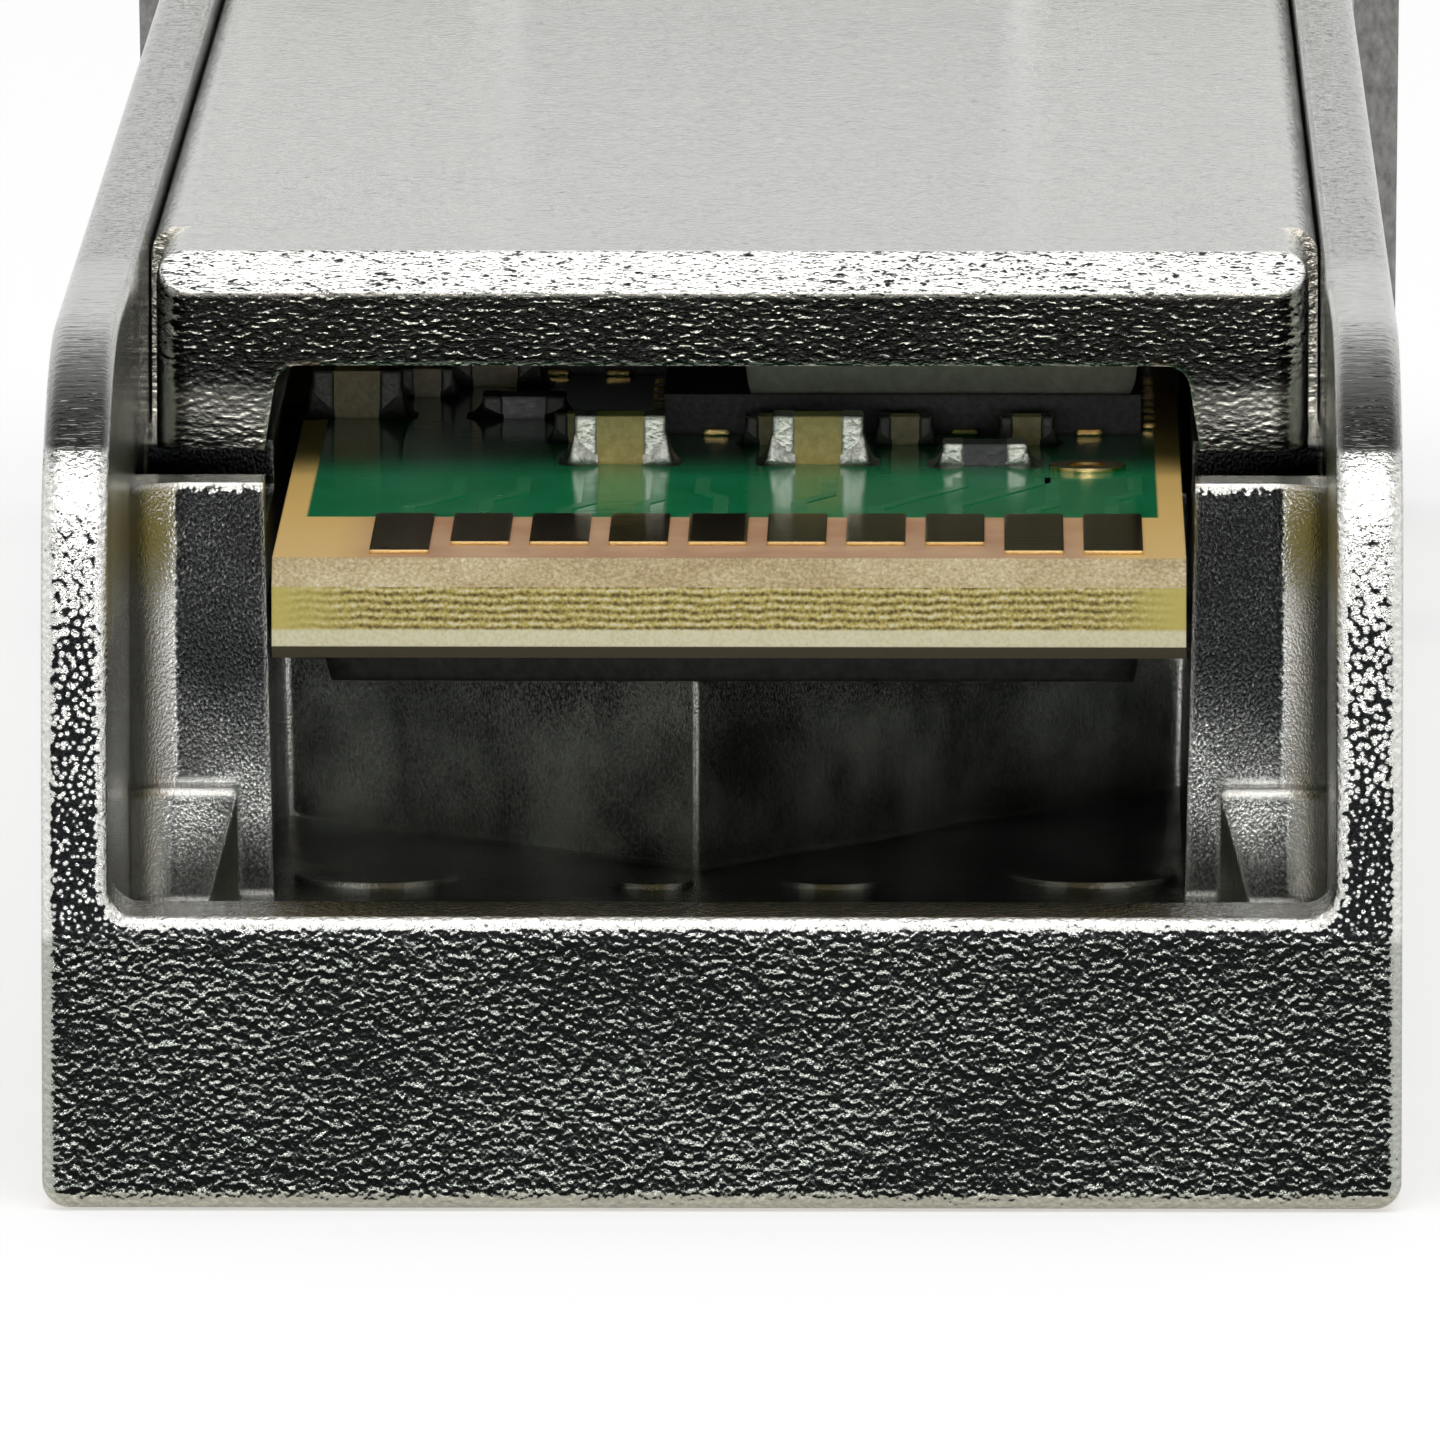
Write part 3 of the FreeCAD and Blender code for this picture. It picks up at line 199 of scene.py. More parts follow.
# Board: its faces, the edges of its green mask and the layers in its end
BOARD_TOP = 6.12 * MM
BOARD_X = 0.04 * MM
MASK_START_Y = REAR_Y + 6.8 * MM
MASK_HALF = 4.34 * MM
LAYER_PITCH = 0.085 * MM
LAYERS_FLOOR = 5.42 * MM

# Board: where a finish, or the painted light and shade on the bevels, starts to change and where the change
# is complete, along x, y or z or by slant
SHARP = 0.02 * MM
MASK_Y = (MASK_START_Y - SHARP, MASK_START_Y + SHARP)
MASK_SIDE_X = (MASK_HALF - SHARP, MASK_HALF + SHARP)
LAYERS_Z = (LAYERS_FLOOR - SHARP, LAYERS_FLOOR + SHARP)
CORNER_X = (4.2 * MM, 5.2 * MM)
CORNER_UNEVEN = 1.2 * MM
MARGIN_X = (3.3 * MM, 4.1 * MM)
SLANT_UP = (0.3, 0.5)
SLANT_DOWN = (-0.3, -0.5)
LEVEL = (0.9, 0.95)

# Board: cells of each pattern in a metre, and how strongly it shows
BOARD_CLOUDS = 900.0
BOARD_SPECKS = 26000.0
BOARD_WEAVE = 5000.0
WEAVE_SHARE = 0.25
LAYER_WAVES = 2200.0
LAYER_STRETCH = (1.0, 1.0, 0.3)
LAYER_SWAY = 9.0
LAYER_CONTRAST = 0.2
# Glints painted as highlights on the upper bevel: share of clouds and of specks
GLINT_CLOUD = 0.55
GLINT_SPECK = 0.5
BOARD_DEPTH = 0.008 * MM
BOARD_EDGE = 0.03 * MM

# Board: colours and roughness, with painted glints as highlights on the upper bevel and painted shade on the
# lower one
LAYER_COLOURS = [(0.22, (0.13, 0.09, 0.02)), (0.42, (0.46, 0.36, 0.09)), (0.62, (0.74, 0.6, 0.18)),
                 (0.85, (0.95, 0.9, 0.66))]
PALE_COLOURS = [(0.3, (0.84, 0.78, 0.46)), (0.6, (0.95, 0.91, 0.64))]
BEVEL_COLOURS = [(0.38, (0.4, 0.29, 0.14)), (0.52, (0.64, 0.51, 0.28)), (0.6, (0.74, 0.64, 0.42)),
                 (0.7, (0.98, 0.95, 0.86))]
BARE_COLOURS = [(0.35, (0.46, 0.24, 0.12)), (0.65, (0.58, 0.36, 0.2))]
MASK_COLOURS = [(0.3, (0.004, 0.21, 0.07)), (0.7, (0.008, 0.29, 0.11))]
CORNER_COLOUR = (0.72, 0.6, 0.16)
LOWER_BEVEL_PAINTED_SHADE = (0.1, 0.08, 0.045)
MARGIN_COLOUR = (0.76, 0.5, 0.16)
BARE_ROUGHNESS = 0.5
MASK_ROUGHNESS = 0.12

# Small parts: size across, along and up, and places in millimetres from the middle and the module's rear end
CAPACITOR = Vector((0.93, 0.5, 0.5)) * MM
RESISTOR = Vector((0.86, 0.5, 0.23)) * MM
SMALL_CAPACITOR = Vector((0.55, 0.3, 0.3)) * MM
INDUCTOR = Vector((1.5, 0.9, 0.6)) * MM
CAPACITOR_PLACES = [(-1.17, 11.5), (0.88, 11.5), (-4.0, 15.5), (-2.6, 18.3), (3.4, 20.2), (-3.4, 23.2)]
RESISTOR_PLACES = [(2.615, 11.35), (-2.24, 15.5), (-3.3, 19.8), (3.4, 21.4)]
SMALL_CAPACITOR_PLACES = [(-1.6, 13.3), (0.4, 13.1), (1.78, 13.1), (3.05, 13.1), (-3.3, 17.3)]
INDUCTOR_PLACES = [(-3.4, 21.7), (3.4, 23.0)]

# Metal ends of the small parts, and the solder that slopes down from them
TERMINAL_SHARE = 0.25
TERMINAL_SKIN = 0.012 * MM
TERMINAL_EDGE = 0.035 * MM
EDGE_SEGMENTS = 2
FILLET_STEPS = 6
FILLET_TURN_STEPS = 4
FILLET_REACH_SHARE = 0.34
FILLET_REACH_LIMIT = 0.2 * MM
FILLET_RISE_SHARE = 0.62
FILLET_START_REACH = 0.35
FILLET_START_RISE = 0.3
FILLET_HOLLOW = 2.2

# Tin: its grain, and where it is painted dark as the cover's shadow and turns rougher
TIN_CELLS = 16000.0
TIN_DEPTH = 0.01 * MM
TIN_COLOURS = [(0.35, (0.28, 0.29, 0.26)), (0.68, (0.47, 0.47, 0.42))]
TIN_ROUGHNESS = 0.32
SHADOWED_TIN_Y = (REAR_Y + 12.2 * MM, REAR_Y + 12.8 * MM)
SHADOWED_TIN_COLOUR = (0.06, 0.06, 0.055)
DULL_TIN_ROUGHNESS = 0.5

# Chips: middle, width and the solder toes along their sides
DRIVER_MIDDLE = Vector((1.75 * MM, REAR_Y + 16.4 * MM, BOARD_TOP))
CONTROLLER_MIDDLE = Vector((0.0, REAR_Y + 21.7 * MM, BOARD_TOP))
CHIP_WIDTH = 5.0 * MM
TOE_PITCH = 0.65 * MM
TOE_SIZE = Vector((0.28, 0.16, 0.07)) * MM
TOE_EDGE = 0.03 * MM
TOES_PER_SIDE = 7

# Contacts, and the traces that lead away from them: where each bends and how far it shifts, in millimetres
FIRST_CONTACT_X = -3.29 * MM
CONTACT_PITCH = 0.8 * MM
CONTACTS = 10
TRACE_WIDTH = 0.16 * MM
TRACE_RISE = 0.008 * MM
TRACE_BEND_Y = [7.5, 8.1, 7.4, 7.9, 8.4, 8.0, 7.5, 7.7, 7.35, 8.2]
TRACE_SHIFT = [0.5, 0.35, 0.25, 0.15, -0.2, 0.3, 0.85, 0.9, 0.2, 0.25]
TRACE_SLANT = 2.2
TRACE_END_Y = REAR_Y + 10.1 * MM
SHARPEST_MITRE = 0.5

# Soft heat pads
PAD_CELLS = 26
PAD_EDGE_BULGE = 0.12 * MM
PAD_BULGE_POWER = 3.0
PAD_CREASE = 0.03 * MM
PAD_CREASE_SIZE = 0.9 * MM
PAD_CREASE_POWER = 7.0

# Flexible lead strips: copper under a film
STRIP_PITCH = 0.6 * MM
STRIP_EDGE = (-0.1, 0.1)
STRIP_DEPTH = 0.004 * MM
STRIP_COLOUR = (0.62, 0.3, 0.07)
FILM_CELLS = 3000.0
FILM_EDGE = 0.02 * MM
FILM_COLOURS = [(0.3, (0.3, 0.11, 0.012)), (0.7, (0.42, 0.17, 0.02))]
FILM_ROUGHNESS = 0.28

# Other materials: width of the edges, which are drawn lighter, and how far the finish spreads the roughness
METAL_EDGE = 0.05 * MM
METAL_SPREAD = 0.3
FINE_EDGE = 0.04 * MM
FINE_EDGE_TONE = 0.4
FINE_SPREAD = 0.1


class Graph:
    """Node tree of one material, with short ways to add and join nodes."""

    def __init__(self, name):
        self.material = bpy.data.materials.new(name)
        self.material.use_nodes = True
        self.tree = self.material.node_tree
        self.shader = self.tree.nodes["Principled BSDF"]

    def put(self, socket, value):
        if isinstance(value, bpy.types.NodeSocket):
            self.tree.links.new(value, socket)
        else:
            socket.default_value = value

    def add(self, kind, inputs=None, **settings):
        made = self.tree.nodes.new(kind)
        for name, value in settings.items():
            setattr(made, name, value)
        for name, value in (inputs or {}).items():
            self.put(made.inputs[name], value)
        return made

    def surface(self, **inputs):
        for name, value in inputs.items():
            self.put(self.shader.inputs[name.replace("_", " ")], value)
        return self.material

    def math(self, operation, first, second=0.0, third=0.0):
        inputs = {0: first, 1: second, 2: third}
        return self.add("ShaderNodeMath", inputs, operation=operation).outputs[0]

    def times(self, first, second):
        return self.math("MULTIPLY", first, second)

    def scaled(self, value, factor, start):
        """Value times factor, plus start."""
        return self.math("MULTIPLY_ADD", value, factor, start)

    def larger(self, first, second):
        return self.math("MAXIMUM", first, second)

    def outside(self, share):
        """One where share is zero, and zero where it is one."""
        return self.math("SUBTRACT", 1.0, share)

    def fade(self, value, low, high):
        """Zero below low and one above high, with a smooth change between, or the other way round."""
        inputs = {"Value": value, "From Min": low, "From Max": high}
        return self.add("ShaderNodeMapRange", inputs, interpolation_type="SMOOTHSTEP").outputs["Result"]

    def beyond(self, axis, limits):
        """Zero before the first limit along an axis, and one past the second."""
        return self.fade(self.at(axis), *limits)

    def blend(self, share, first, second):
        made = self.add("ShaderNodeMix", {"Factor": share, "A": first, "B": second}, data_type="FLOAT")
        return made.outputs["Result"]

    def choose(self, share, first, second):
        """The second vector where share is over a half, and the first elsewhere."""
        made = self.add("ShaderNodeMix", data_type="VECTOR")
        self.put(made.inputs["Factor"], self.math("GREATER_THAN", share, 0.5))
        self.put(made.inputs[4], first)
        self.put(made.inputs[5], second)
        return made.outputs[1]

    def tint(self, share, first, second):
        made = self.add("ShaderNodeMix", data_type="RGBA")
        self.put(made.inputs["Factor"], share)
        for socket, colour in zip((made.inputs[6], made.inputs[7]), (first, second)):
            self.put(socket, (*colour, 1.0) if isinstance(colour, tuple) else colour)
        return made.outputs[2]

    def shade(self, share, first, second):
        """Colour multiplied by another where share is one."""
        made = self.add("ShaderNodeMix", data_type="RGBA", blend_type="MULTIPLY")
        self.put(made.inputs["Factor"], share)
        self.put(made.inputs[6], first)
        self.put(made.inputs[7], (*second, 1.0))
        return made.outputs[2]

    def ramp(self, factor, stops):
        made = self.add("ShaderNodeValToRGB", {"Fac": factor})
        band = made.color_ramp
        while len(band.elements) < len(stops):
            band.elements.new(1.0)
        for element, (place, colour) in zip(band.elements, stops):
            element.position = place
            element.color = (*colour, 1.0)
        return made.outputs["Color"]

    def position(self):
        return self.add("ShaderNodeTexCoord").outputs["Object"]

    def flat_normal(self):
        return self.add("ShaderNodeNewGeometry").outputs["Normal"]

    def along(self, vector, axis):
        return self.add("ShaderNodeSeparateXYZ", {"Vector": vector}).outputs[axis]

    def at(self, axis):
        """Place along one axis, in metres."""
        return self.along(self.position(), axis)

    def off_middle(self):
        """Distance from the middle of the module, to either side."""
        return self.math("ABSOLUTE", self.at("X"))

    def facing(self, axis):
        """How squarely the surface faces along one axis, from minus one to one."""
        return self.along(self.flat_normal(), axis)

    def stretched(self, scale, turn=(0.0, 0.0, 0.0)):
        inputs = {"Vector": self.position(), "Scale": scale, "Rotation": turn}
        return self.add("ShaderNodeMapping", inputs).outputs["Vector"]

    def noise(self, vector, scale, detail=2.0, roughness=0.5):
        inputs = {"Vector": vector, "Scale": scale, "Detail": detail, "Roughness": roughness}
        return self.add("ShaderNodeTexNoise", inputs).outputs["Fac"]

    def dots(self, vector, scale):
        """Distance to the nearest of many scattered points, in shares of their spacing."""
        inputs = {"Vector": vector, "Scale": scale}
        return self.add("ShaderNodeTexVoronoi", inputs, voronoi_dimensions="2D").outputs["Distance"]

    def rounded_normal(self, radius):
        return self.add("ShaderNodeBevel", {"Radius": radius}, samples=2).outputs["Normal"]

    def edge(self, rounded):
        """Near zero on flat faces, and larger along edges."""
        inputs = {0: rounded, 1: self.flat_normal()}
        alike = self.add("ShaderNodeVectorMath", inputs, operation="DOT_PRODUCT").outputs["Value"]
        return self.outside(alike)

    def bump(self, height, distance, normal):
        inputs = {"Height": height, "Distance": distance, "Normal": normal}
        return self.add("ShaderNodeBump", inputs).outputs["Normal"]


# Plated casting, of the body and of the cover

def plated_metal(name, place, lightness, finish, dulling):
    """Nickel-plated casting: grain with painted highlights on its upper slopes and painted shade in its
    hollows, and painted light and shade by place.
    """
    graph = Graph(name)
    here = place(graph)
    higher = graph.add("ShaderNodeVectorMath", {0: here, 1: (0.0, 0.0, GRAIN_STEP)}).outputs[0]
    grain = graph.noise(here, 1.0, roughness=GRAIN_ROUGHNESS)
    fall = graph.math("SUBTRACT", grain, graph.noise(higher, 1.0, roughness=GRAIN_ROUGHNESS))
    pattern, height = finish(graph, graph.times(fall, GRAIN_SLOPE), grain)
    cloud = graph.noise(graph.position(), CLOUDS_PER_METRE, roughness=0.6)
    rounded = graph.rounded_normal(EDGE_RADIUS)
    tone = graph.scaled(cloud, CLOUD_TONE, pattern)
    tone = graph.scaled(graph.edge(rounded), EDGE_TONE, tone)
    colour = graph.ramp(graph.math("ADD", lightness(graph), tone), PLATING)
    return graph.surface(Base_Color=dulling(graph, colour), Metallic=1.0, Roughness=PLATING_ROUGHNESS,
                         Normal=graph.bump(height, GRAIN_DEPTH, rounded))


def facing_rear(graph, limits=REAR_FACING):
    return graph.fade(graph.times(graph.facing("Y"), -1.0), *limits)


def facing_sideways(graph):
    return graph.fade(graph.math("ABSOLUTE", graph.facing("X")), *SIDE_FACING)


def inside_mouth(graph):
    """One on the faces of the cavity behind the mouth."""
    along = graph.times(graph.beyond("Y", CAVITY_START_Y), graph.beyond("Y", CAVITY_END_Y))
    across = graph.times(graph.beyond("Z", CAVITY_FLOOR_Z), graph.fade(graph.off_middle(), *CAVITY_SIDE_X))
    return graph.times(along, across)


def on_skirt_end(graph):
    """One beside the mouth and above its lip."""
    return graph.times(graph.fade(graph.off_middle(), *SKIRT_X), graph.beyond("Z", SKIRT_FOOT_Z))


def on_lead_in(graph):
    """One on the rounded rear ends of the skirts."""
    near = graph.times(graph.beyond("Z", LEAD_IN_Z), graph.beyond("Y", LEAD_IN_Y))
    return graph.times(near, graph.outside(facing_sideways(graph)))


def mouth_rim(graph):
    """One along the edge of the mouth: over the lip, round its corners and up the skirts."""
    across = graph.larger(graph.math("SUBTRACT", graph.off_middle(), MOUTH_HALF - MOUTH_CORNER), 0.0)
    down = graph.larger(graph.math("SUBTRACT", LIP_TOP + MOUTH_CORNER, graph.at("Z")), 0.0)
    reach = graph.math("SQRT", graph.scaled(across, across, graph.times(down, down)))
    return graph.fade(reach, *RIM_REACH)


def body_painted_light(graph):
    """Painted light and shade: the hood's end is darkest, the skirts' ends grow lighter upwards as a painted
    reflection, edges carry painted highlights and the rest is light.
    """
    grey = graph.blend(graph.fade(graph.at("X"), 0.0, MOUTH_HALF), SKIRT_GREY_LEFT, SKIRT_GREY_RIGHT)
    climb = graph.scaled(graph.beyond("Z", SKIRT_WHITE_Z), SKIRT_WHITE_TONE, SKIRT_TONE)
    climb = graph.scaled(graph.beyond("Z", SKIRT_GREY_Z), grey, climb)
    rear = graph.scaled(on_skirt_end(graph), climb, graph.times(mouth_rim(graph), RIM_TONE))
    outer = graph.larger(graph.fade(graph.off_middle(), *OUTER_EDGE_X), graph.beyond("Z", BOTTOM_EDGE_Z))
    rear = graph.scaled(outer, OUTER_EDGE_TONE, rear)
    rear = graph.scaled(graph.beyond("Z", LOWER_HOOD_Z), LOWER_HOOD_TONE, rear)
    other = graph.blend(graph.beyond("Y", REAR_EDGE_Y), OUTSIDE_TONE, REAR_EDGE_TONE)
    outside = graph.blend(facing_rear(graph), other, rear)
    return graph.blend(inside_mouth(graph), outside, inner_painted_light(graph))


def inner_painted_light(graph):
    """Painted light and shade inside the mouth: the posts are dark with painted glints on their top edges,
    the floor and all behind the posts are painted darker, and the rails behind them are darkest, as painted
    shadow.
    """
    post = graph.blend(graph.beyond("Z", POST_Z), POST_FOOT_TONE, POST_HEAD_TONE)
    ragged = graph.noise(graph.position(), POST_EDGE_CELLS)
    edge = graph.fade(graph.scaled(ragged, POST_EDGE_UNEVEN, graph.at("Z")), *POST_EDGE_Z)
    post = graph.scaled(edge, POST_EDGE_TONE, post)
    floor_share = graph.blend(graph.beyond("Y", INNER_FLOOR_DARK_Y), INNER_FLOOR_NEAR, 1.0)
    floor = graph.times(graph.beyond("Z", INNER_FLOOR_Z), floor_share)
    deep = graph.beyond("Y", BEHIND_POSTS_Y)
    rail = graph.times(graph.fade(graph.off_middle(), *RAIL_X), graph.beyond("Z", RAIL_Z))
    other = graph.blend(graph.larger(deep, floor), INNER_TONE, DEEP_TONE)
    near = graph.blend(facing_rear(graph, POST_FACING), other, post)
    return graph.blend(graph.times(deep, rail), near, RAIL_TONE)


def body_place(graph):
    """Place in the grain: fine inside the mouth and drawn out across on the lead-in."""
    outside = graph.choose(on_lead_in(graph), graph.stretched(HOOD_GRAIN), graph.stretched(LEAD_IN_GRAIN))
    return graph.choose(inside_mouth(graph), outside, graph.stretched(MOUTH_GRAIN, MOUTH_GRAIN_TURN))


def body_finish(graph, slope, grain):
    """Grain with painted highlights on its upper slopes outside, round painted highlight spots on the skirts'
    ends and quieter grain inside the mouth.
    """
    inside = inside_mouth(graph)
    lead_in = on_lead_in(graph)
    skirt = graph.times(on_skirt_end(graph), facing_rear(graph))
    even = graph.math("SUBTRACT", grain, 0.5)
    dots = graph.dots(graph.stretched(UNSTRETCHED, UPRIGHT), SPOTS_PER_METRE)
    spots = graph.scaled(dots, SPOT_FALL, graph.scaled(even, SPOT_GRAIN, SPOT_TONE))
    soft = graph.times(slope, graph.blend(lead_in, 1.0, LEAD_IN_CONTRAST))
    pattern = graph.blend(skirt, soft, spots)
    contrast = graph.blend(graph.beyond("Z", INNER_CONTRAST_Z), INNER_LOW_CONTRAST, INNER_HIGH_CONTRAST)
    pattern = graph.blend(inside, pattern, graph.times(even, contrast))
    depth = graph.blend(inside, graph.blend(lead_in, 1.0, LEAD_IN_DEPTH), INNER_DEPTH)
    return pattern, graph.times(grain, depth)


def body_painted_shade(graph, colour):
    """Painted shade: the hood's end, the lead-in's foot, the sides and all further forward are darkened, and
    the underside is tinted warm as a painted reflection.
    """
    forward = graph.larger(graph.beyond("Y", FORWARD_Y), facing_sideways(graph))
    colour = graph.shade(graph.times(forward, graph.outside(inside_mouth(graph))), colour, SIDE_PAINTED_SHADE)
    hood_end = graph.times(graph.beyond("Z", HOOD_END_Z), graph.beyond("Y", HOOD_END_Y))
    colour = graph.shade(hood_end, colour, HOOD_PAINTED_SHADE)
    foot = graph.times(on_lead_in(graph), graph.beyond("Z", LEAD_IN_FOOT_Z))
    colour = graph.shade(foot, colour, LEAD_IN_PAINTED_SHADE)
    return graph.shade(graph.beyond("Z", UNDERSIDE_Z), colour, UNDERSIDE_PAINTED_REFLECTION)


def cover_painted_light(graph):
    """Painted light and shade: the cover's end is dark, with lighter legs, and its shoulders and other faces
    are light.
    """
    end = graph.scaled(graph.beyond("Z", COVER_LEG_Z), COVER_LEG_TONE, COVER_END_TONE)
    rear = graph.blend(graph.beyond("Y", COVER_SHOULDER_Y), end, COVER_SHOULDER_TONE)
    return graph.blend(facing_rear(graph), OUTSIDE_TONE, rear)


def cover_place(graph):
    return graph.stretched(COVER_GRAIN, COVER_GRAIN_TURN)


def cover_finish(graph, slope, grain):
    """Grain with painted highlights on its upper slopes all over, quieter on top and on the legs."""
    top_calm = graph.blend(graph.fade(graph.facing("Z"), *TOP_FACING), 1.0, COVER_TOP_CALM)
    leg_calm = graph.blend(graph.beyond("Z", COVER_CALM_Z), 1.0, COVER_LEG_CALM)
    calm = graph.times(top_calm, leg_calm)
    return graph.times(slope, calm), graph.times(grain, calm)


def cover_painted_shade(graph, colour):
    """Painted shade: the cover's end is darker than the rest."""
    return graph.shade(facing_rear(graph), colour, COVER_END_PAINTED_SHADE)


# Circuit board

def board_sides(graph, across, cloud, speck):
    """Layers in the end and sides, over a pale band, with glints painted as highlights on the bevel above and
    painted shade on the one below.
    """
    z = graph.at("Z")
    sway = graph.noise(graph.stretched(LAYER_STRETCH), LAYER_WAVES, detail=4.0, roughness=0.65)
    phase = graph.scaled(z, 2.0 * math.pi / LAYER_PITCH, graph.times(sway, LAYER_SWAY))
    band = graph.scaled(graph.math("SINE", phase), LAYER_CONTRAST, speck)
    layers = graph.ramp(band, LAYER_COLOURS)
    corner = graph.fade(graph.scaled(cloud, CORNER_UNEVEN, across), *CORNER_X)
    layers = graph.tint(corner, layers, CORNER_COLOUR)
    end = graph.tint(graph.fade(z, *LAYERS_Z), graph.ramp(speck, PALE_COLOURS), layers)
    # Painted highlights: glints on the upper bevel
    glint = graph.scaled(cloud, GLINT_CLOUD, graph.times(speck, GLINT_SPECK))
    bevel = graph.ramp(glint, BEVEL_COLOURS)
    slant = graph.facing("Z")
    sides = graph.tint(graph.fade(slant, *SLANT_UP), end, bevel)
    # Painted shade on the lower bevel
    return graph.tint(graph.fade(slant, *SLANT_DOWN), sides, LOWER_BEVEL_PAINTED_SHADE)


def board_laminate():
    """Glass laminate with a green mask on both faces, a bevelled end and layers in its sides."""
    graph = Graph("board_laminate")
    place = graph.position()
    across = graph.math("ABSOLUTE", graph.math("SUBTRACT", graph.at("X"), BOARD_X))
    cloud = graph.noise(place, BOARD_CLOUDS, detail=3.0)
    speck = graph.noise(place, BOARD_SPECKS, roughness=0.6)
    bare = graph.tint(graph.fade(across, *MARGIN_X), graph.ramp(cloud, BARE_COLOURS), MARGIN_COLOUR)
    green = graph.ramp(cloud, MASK_COLOURS)
    masked = graph.times(graph.beyond("Y", MASK_Y), graph.outside(graph.fade(across, *MASK_SIDE_X)))
    face = graph.fade(graph.math("ABSOLUTE", graph.facing("Z")), *LEVEL)
    colour = graph.tint(face, board_sides(graph, across, cloud, speck), graph.tint(masked, bare, green))
    rough = graph.blend(graph.times(face, masked), BARE_ROUGHNESS, MASK_ROUGHNESS)
    weave = graph.noise(place, BOARD_WEAVE, detail=1.0)
    height = graph.blend(face, speck, graph.times(weave, WEAVE_SHARE))
    rounded = graph.rounded_normal(BOARD_EDGE)
    return graph.surface(Base_Color=colour, Roughness=rough, Specular_IOR_Level=0.35,
                         Normal=graph.bump(height, BOARD_DEPTH, rounded))


# Other materials

def worn_metal(name, dark, light, stretch, scale, roughness, depth):
    """Bare metal with a directional brushed or turned finish."""
    graph = Graph(name)
    streak = graph.noise(graph.stretched(stretch), scale, detail=4.0, roughness=0.6)
    rounded = graph.rounded_normal(METAL_EDGE)
    tone = graph.math("ADD", streak, graph.edge(rounded))
    colour = graph.ramp(tone, [(0.3, dark), (0.7, light)])
    rough = graph.blend(streak, roughness * (1.0 - METAL_SPREAD), roughness * (1.0 + METAL_SPREAD))
    return graph.surface(Base_Color=colour, Metallic=1.0, Roughness=rough,
                         Normal=graph.bump(streak, depth, rounded))


def grained(name, dark, light, scale, roughness, depth):
    """Moulded, pressed, printed or fired surface with a fine even grain."""
    graph = Graph(name)
    grain = graph.noise(graph.position(), scale, detail=3.0, roughness=0.6)
    rounded = graph.rounded_normal(FINE_EDGE)
    tone = graph.scaled(graph.edge(rounded), FINE_EDGE_TONE, grain)
    colour = graph.ramp(tone, [(0.35, dark), (0.68, light)])
    rough = graph.blend(grain, roughness + FINE_SPREAD, roughness - FINE_SPREAD)
    return graph.surface(Base_Color=colour, Roughness=rough, Normal=graph.bump(grain, depth, rounded))


def tin_solder():
    """Tin on the ends of the small parts, bright near the contacts, and painted dark as the cover's shadow
    and rougher under the cover.
    """
    graph = Graph("tin_solder")
    grain = graph.noise(graph.position(), TIN_CELLS, detail=3.0, roughness=0.6)
    rounded = graph.rounded_normal(FINE_EDGE)
    dull = graph.beyond("Y", SHADOWED_TIN_Y)
    colour = graph.tint(dull, graph.ramp(grain, TIN_COLOURS), SHADOWED_TIN_COLOUR)
    rough = graph.blend(dull, TIN_ROUGHNESS, DULL_TIN_ROUGHNESS)
    return graph.surface(Base_Color=colour, Metallic=1.0, Roughness=rough,
                         Normal=graph.bump(grain, TIN_DEPTH, rounded))


def flex_film():
    """Amber film over copper strips that run along it."""
    graph = Graph("flex_film")
    strip = graph.math("SINE", graph.times(graph.at("X"), 2.0 * math.pi / STRIP_PITCH))
    film = graph.ramp(graph.noise(graph.position(), FILM_CELLS), FILM_COLOURS)
    colour = graph.tint(graph.fade(strip, *STRIP_EDGE), film, STRIP_COLOUR)
    rounded = graph.rounded_normal(FILM_EDGE)
    return graph.surface(Base_Color=colour, Roughness=FILM_ROUGHNESS,
                         Normal=graph.bump(strip, STRIP_DEPTH, rounded))


casting = plated_metal("plated_casting", body_place, body_painted_light, body_finish, body_painted_shade)
cover_casting = plated_metal("plated_cover", cover_place, cover_painted_light, cover_finish, cover_painted_shade)
gold = worn_metal("gold_plating", dark=(0.62, 0.38, 0.12), light=(0.9, 0.66, 0.3), stretch=(0.1, 1.0, 1.0),
                  scale=12000.0, roughness=0.1, depth=0.002 * MM)
tin = tin_solder()
covered_copper = grained("covered_copper", dark=(0.02, 0.2, 0.075), light=(0.035, 0.27, 0.11),
                         scale=2500.0, roughness=0.24, depth=0.003 * MM)
gap_filler = grained("gap_filler", dark=(0.66, 0.65, 0.56), light=(0.84, 0.83, 0.74),
                     scale=7000.0, roughness=0.75, depth=0.02 * MM)
dark_filler = grained("dark_filler", dark=(0.018, 0.018, 0.017), light=(0.036, 0.036, 0.034),
                      scale=7000.0, roughness=0.7, depth=0.02 * MM)
bent_strip = worn_metal("bent_strip", dark=(0.17, 0.165, 0.16), light=(0.36, 0.355, 0.345),
                        stretch=(1.0, 1.0, 0.15), scale=9000.0, roughness=0.3, depth=0.004 * MM)

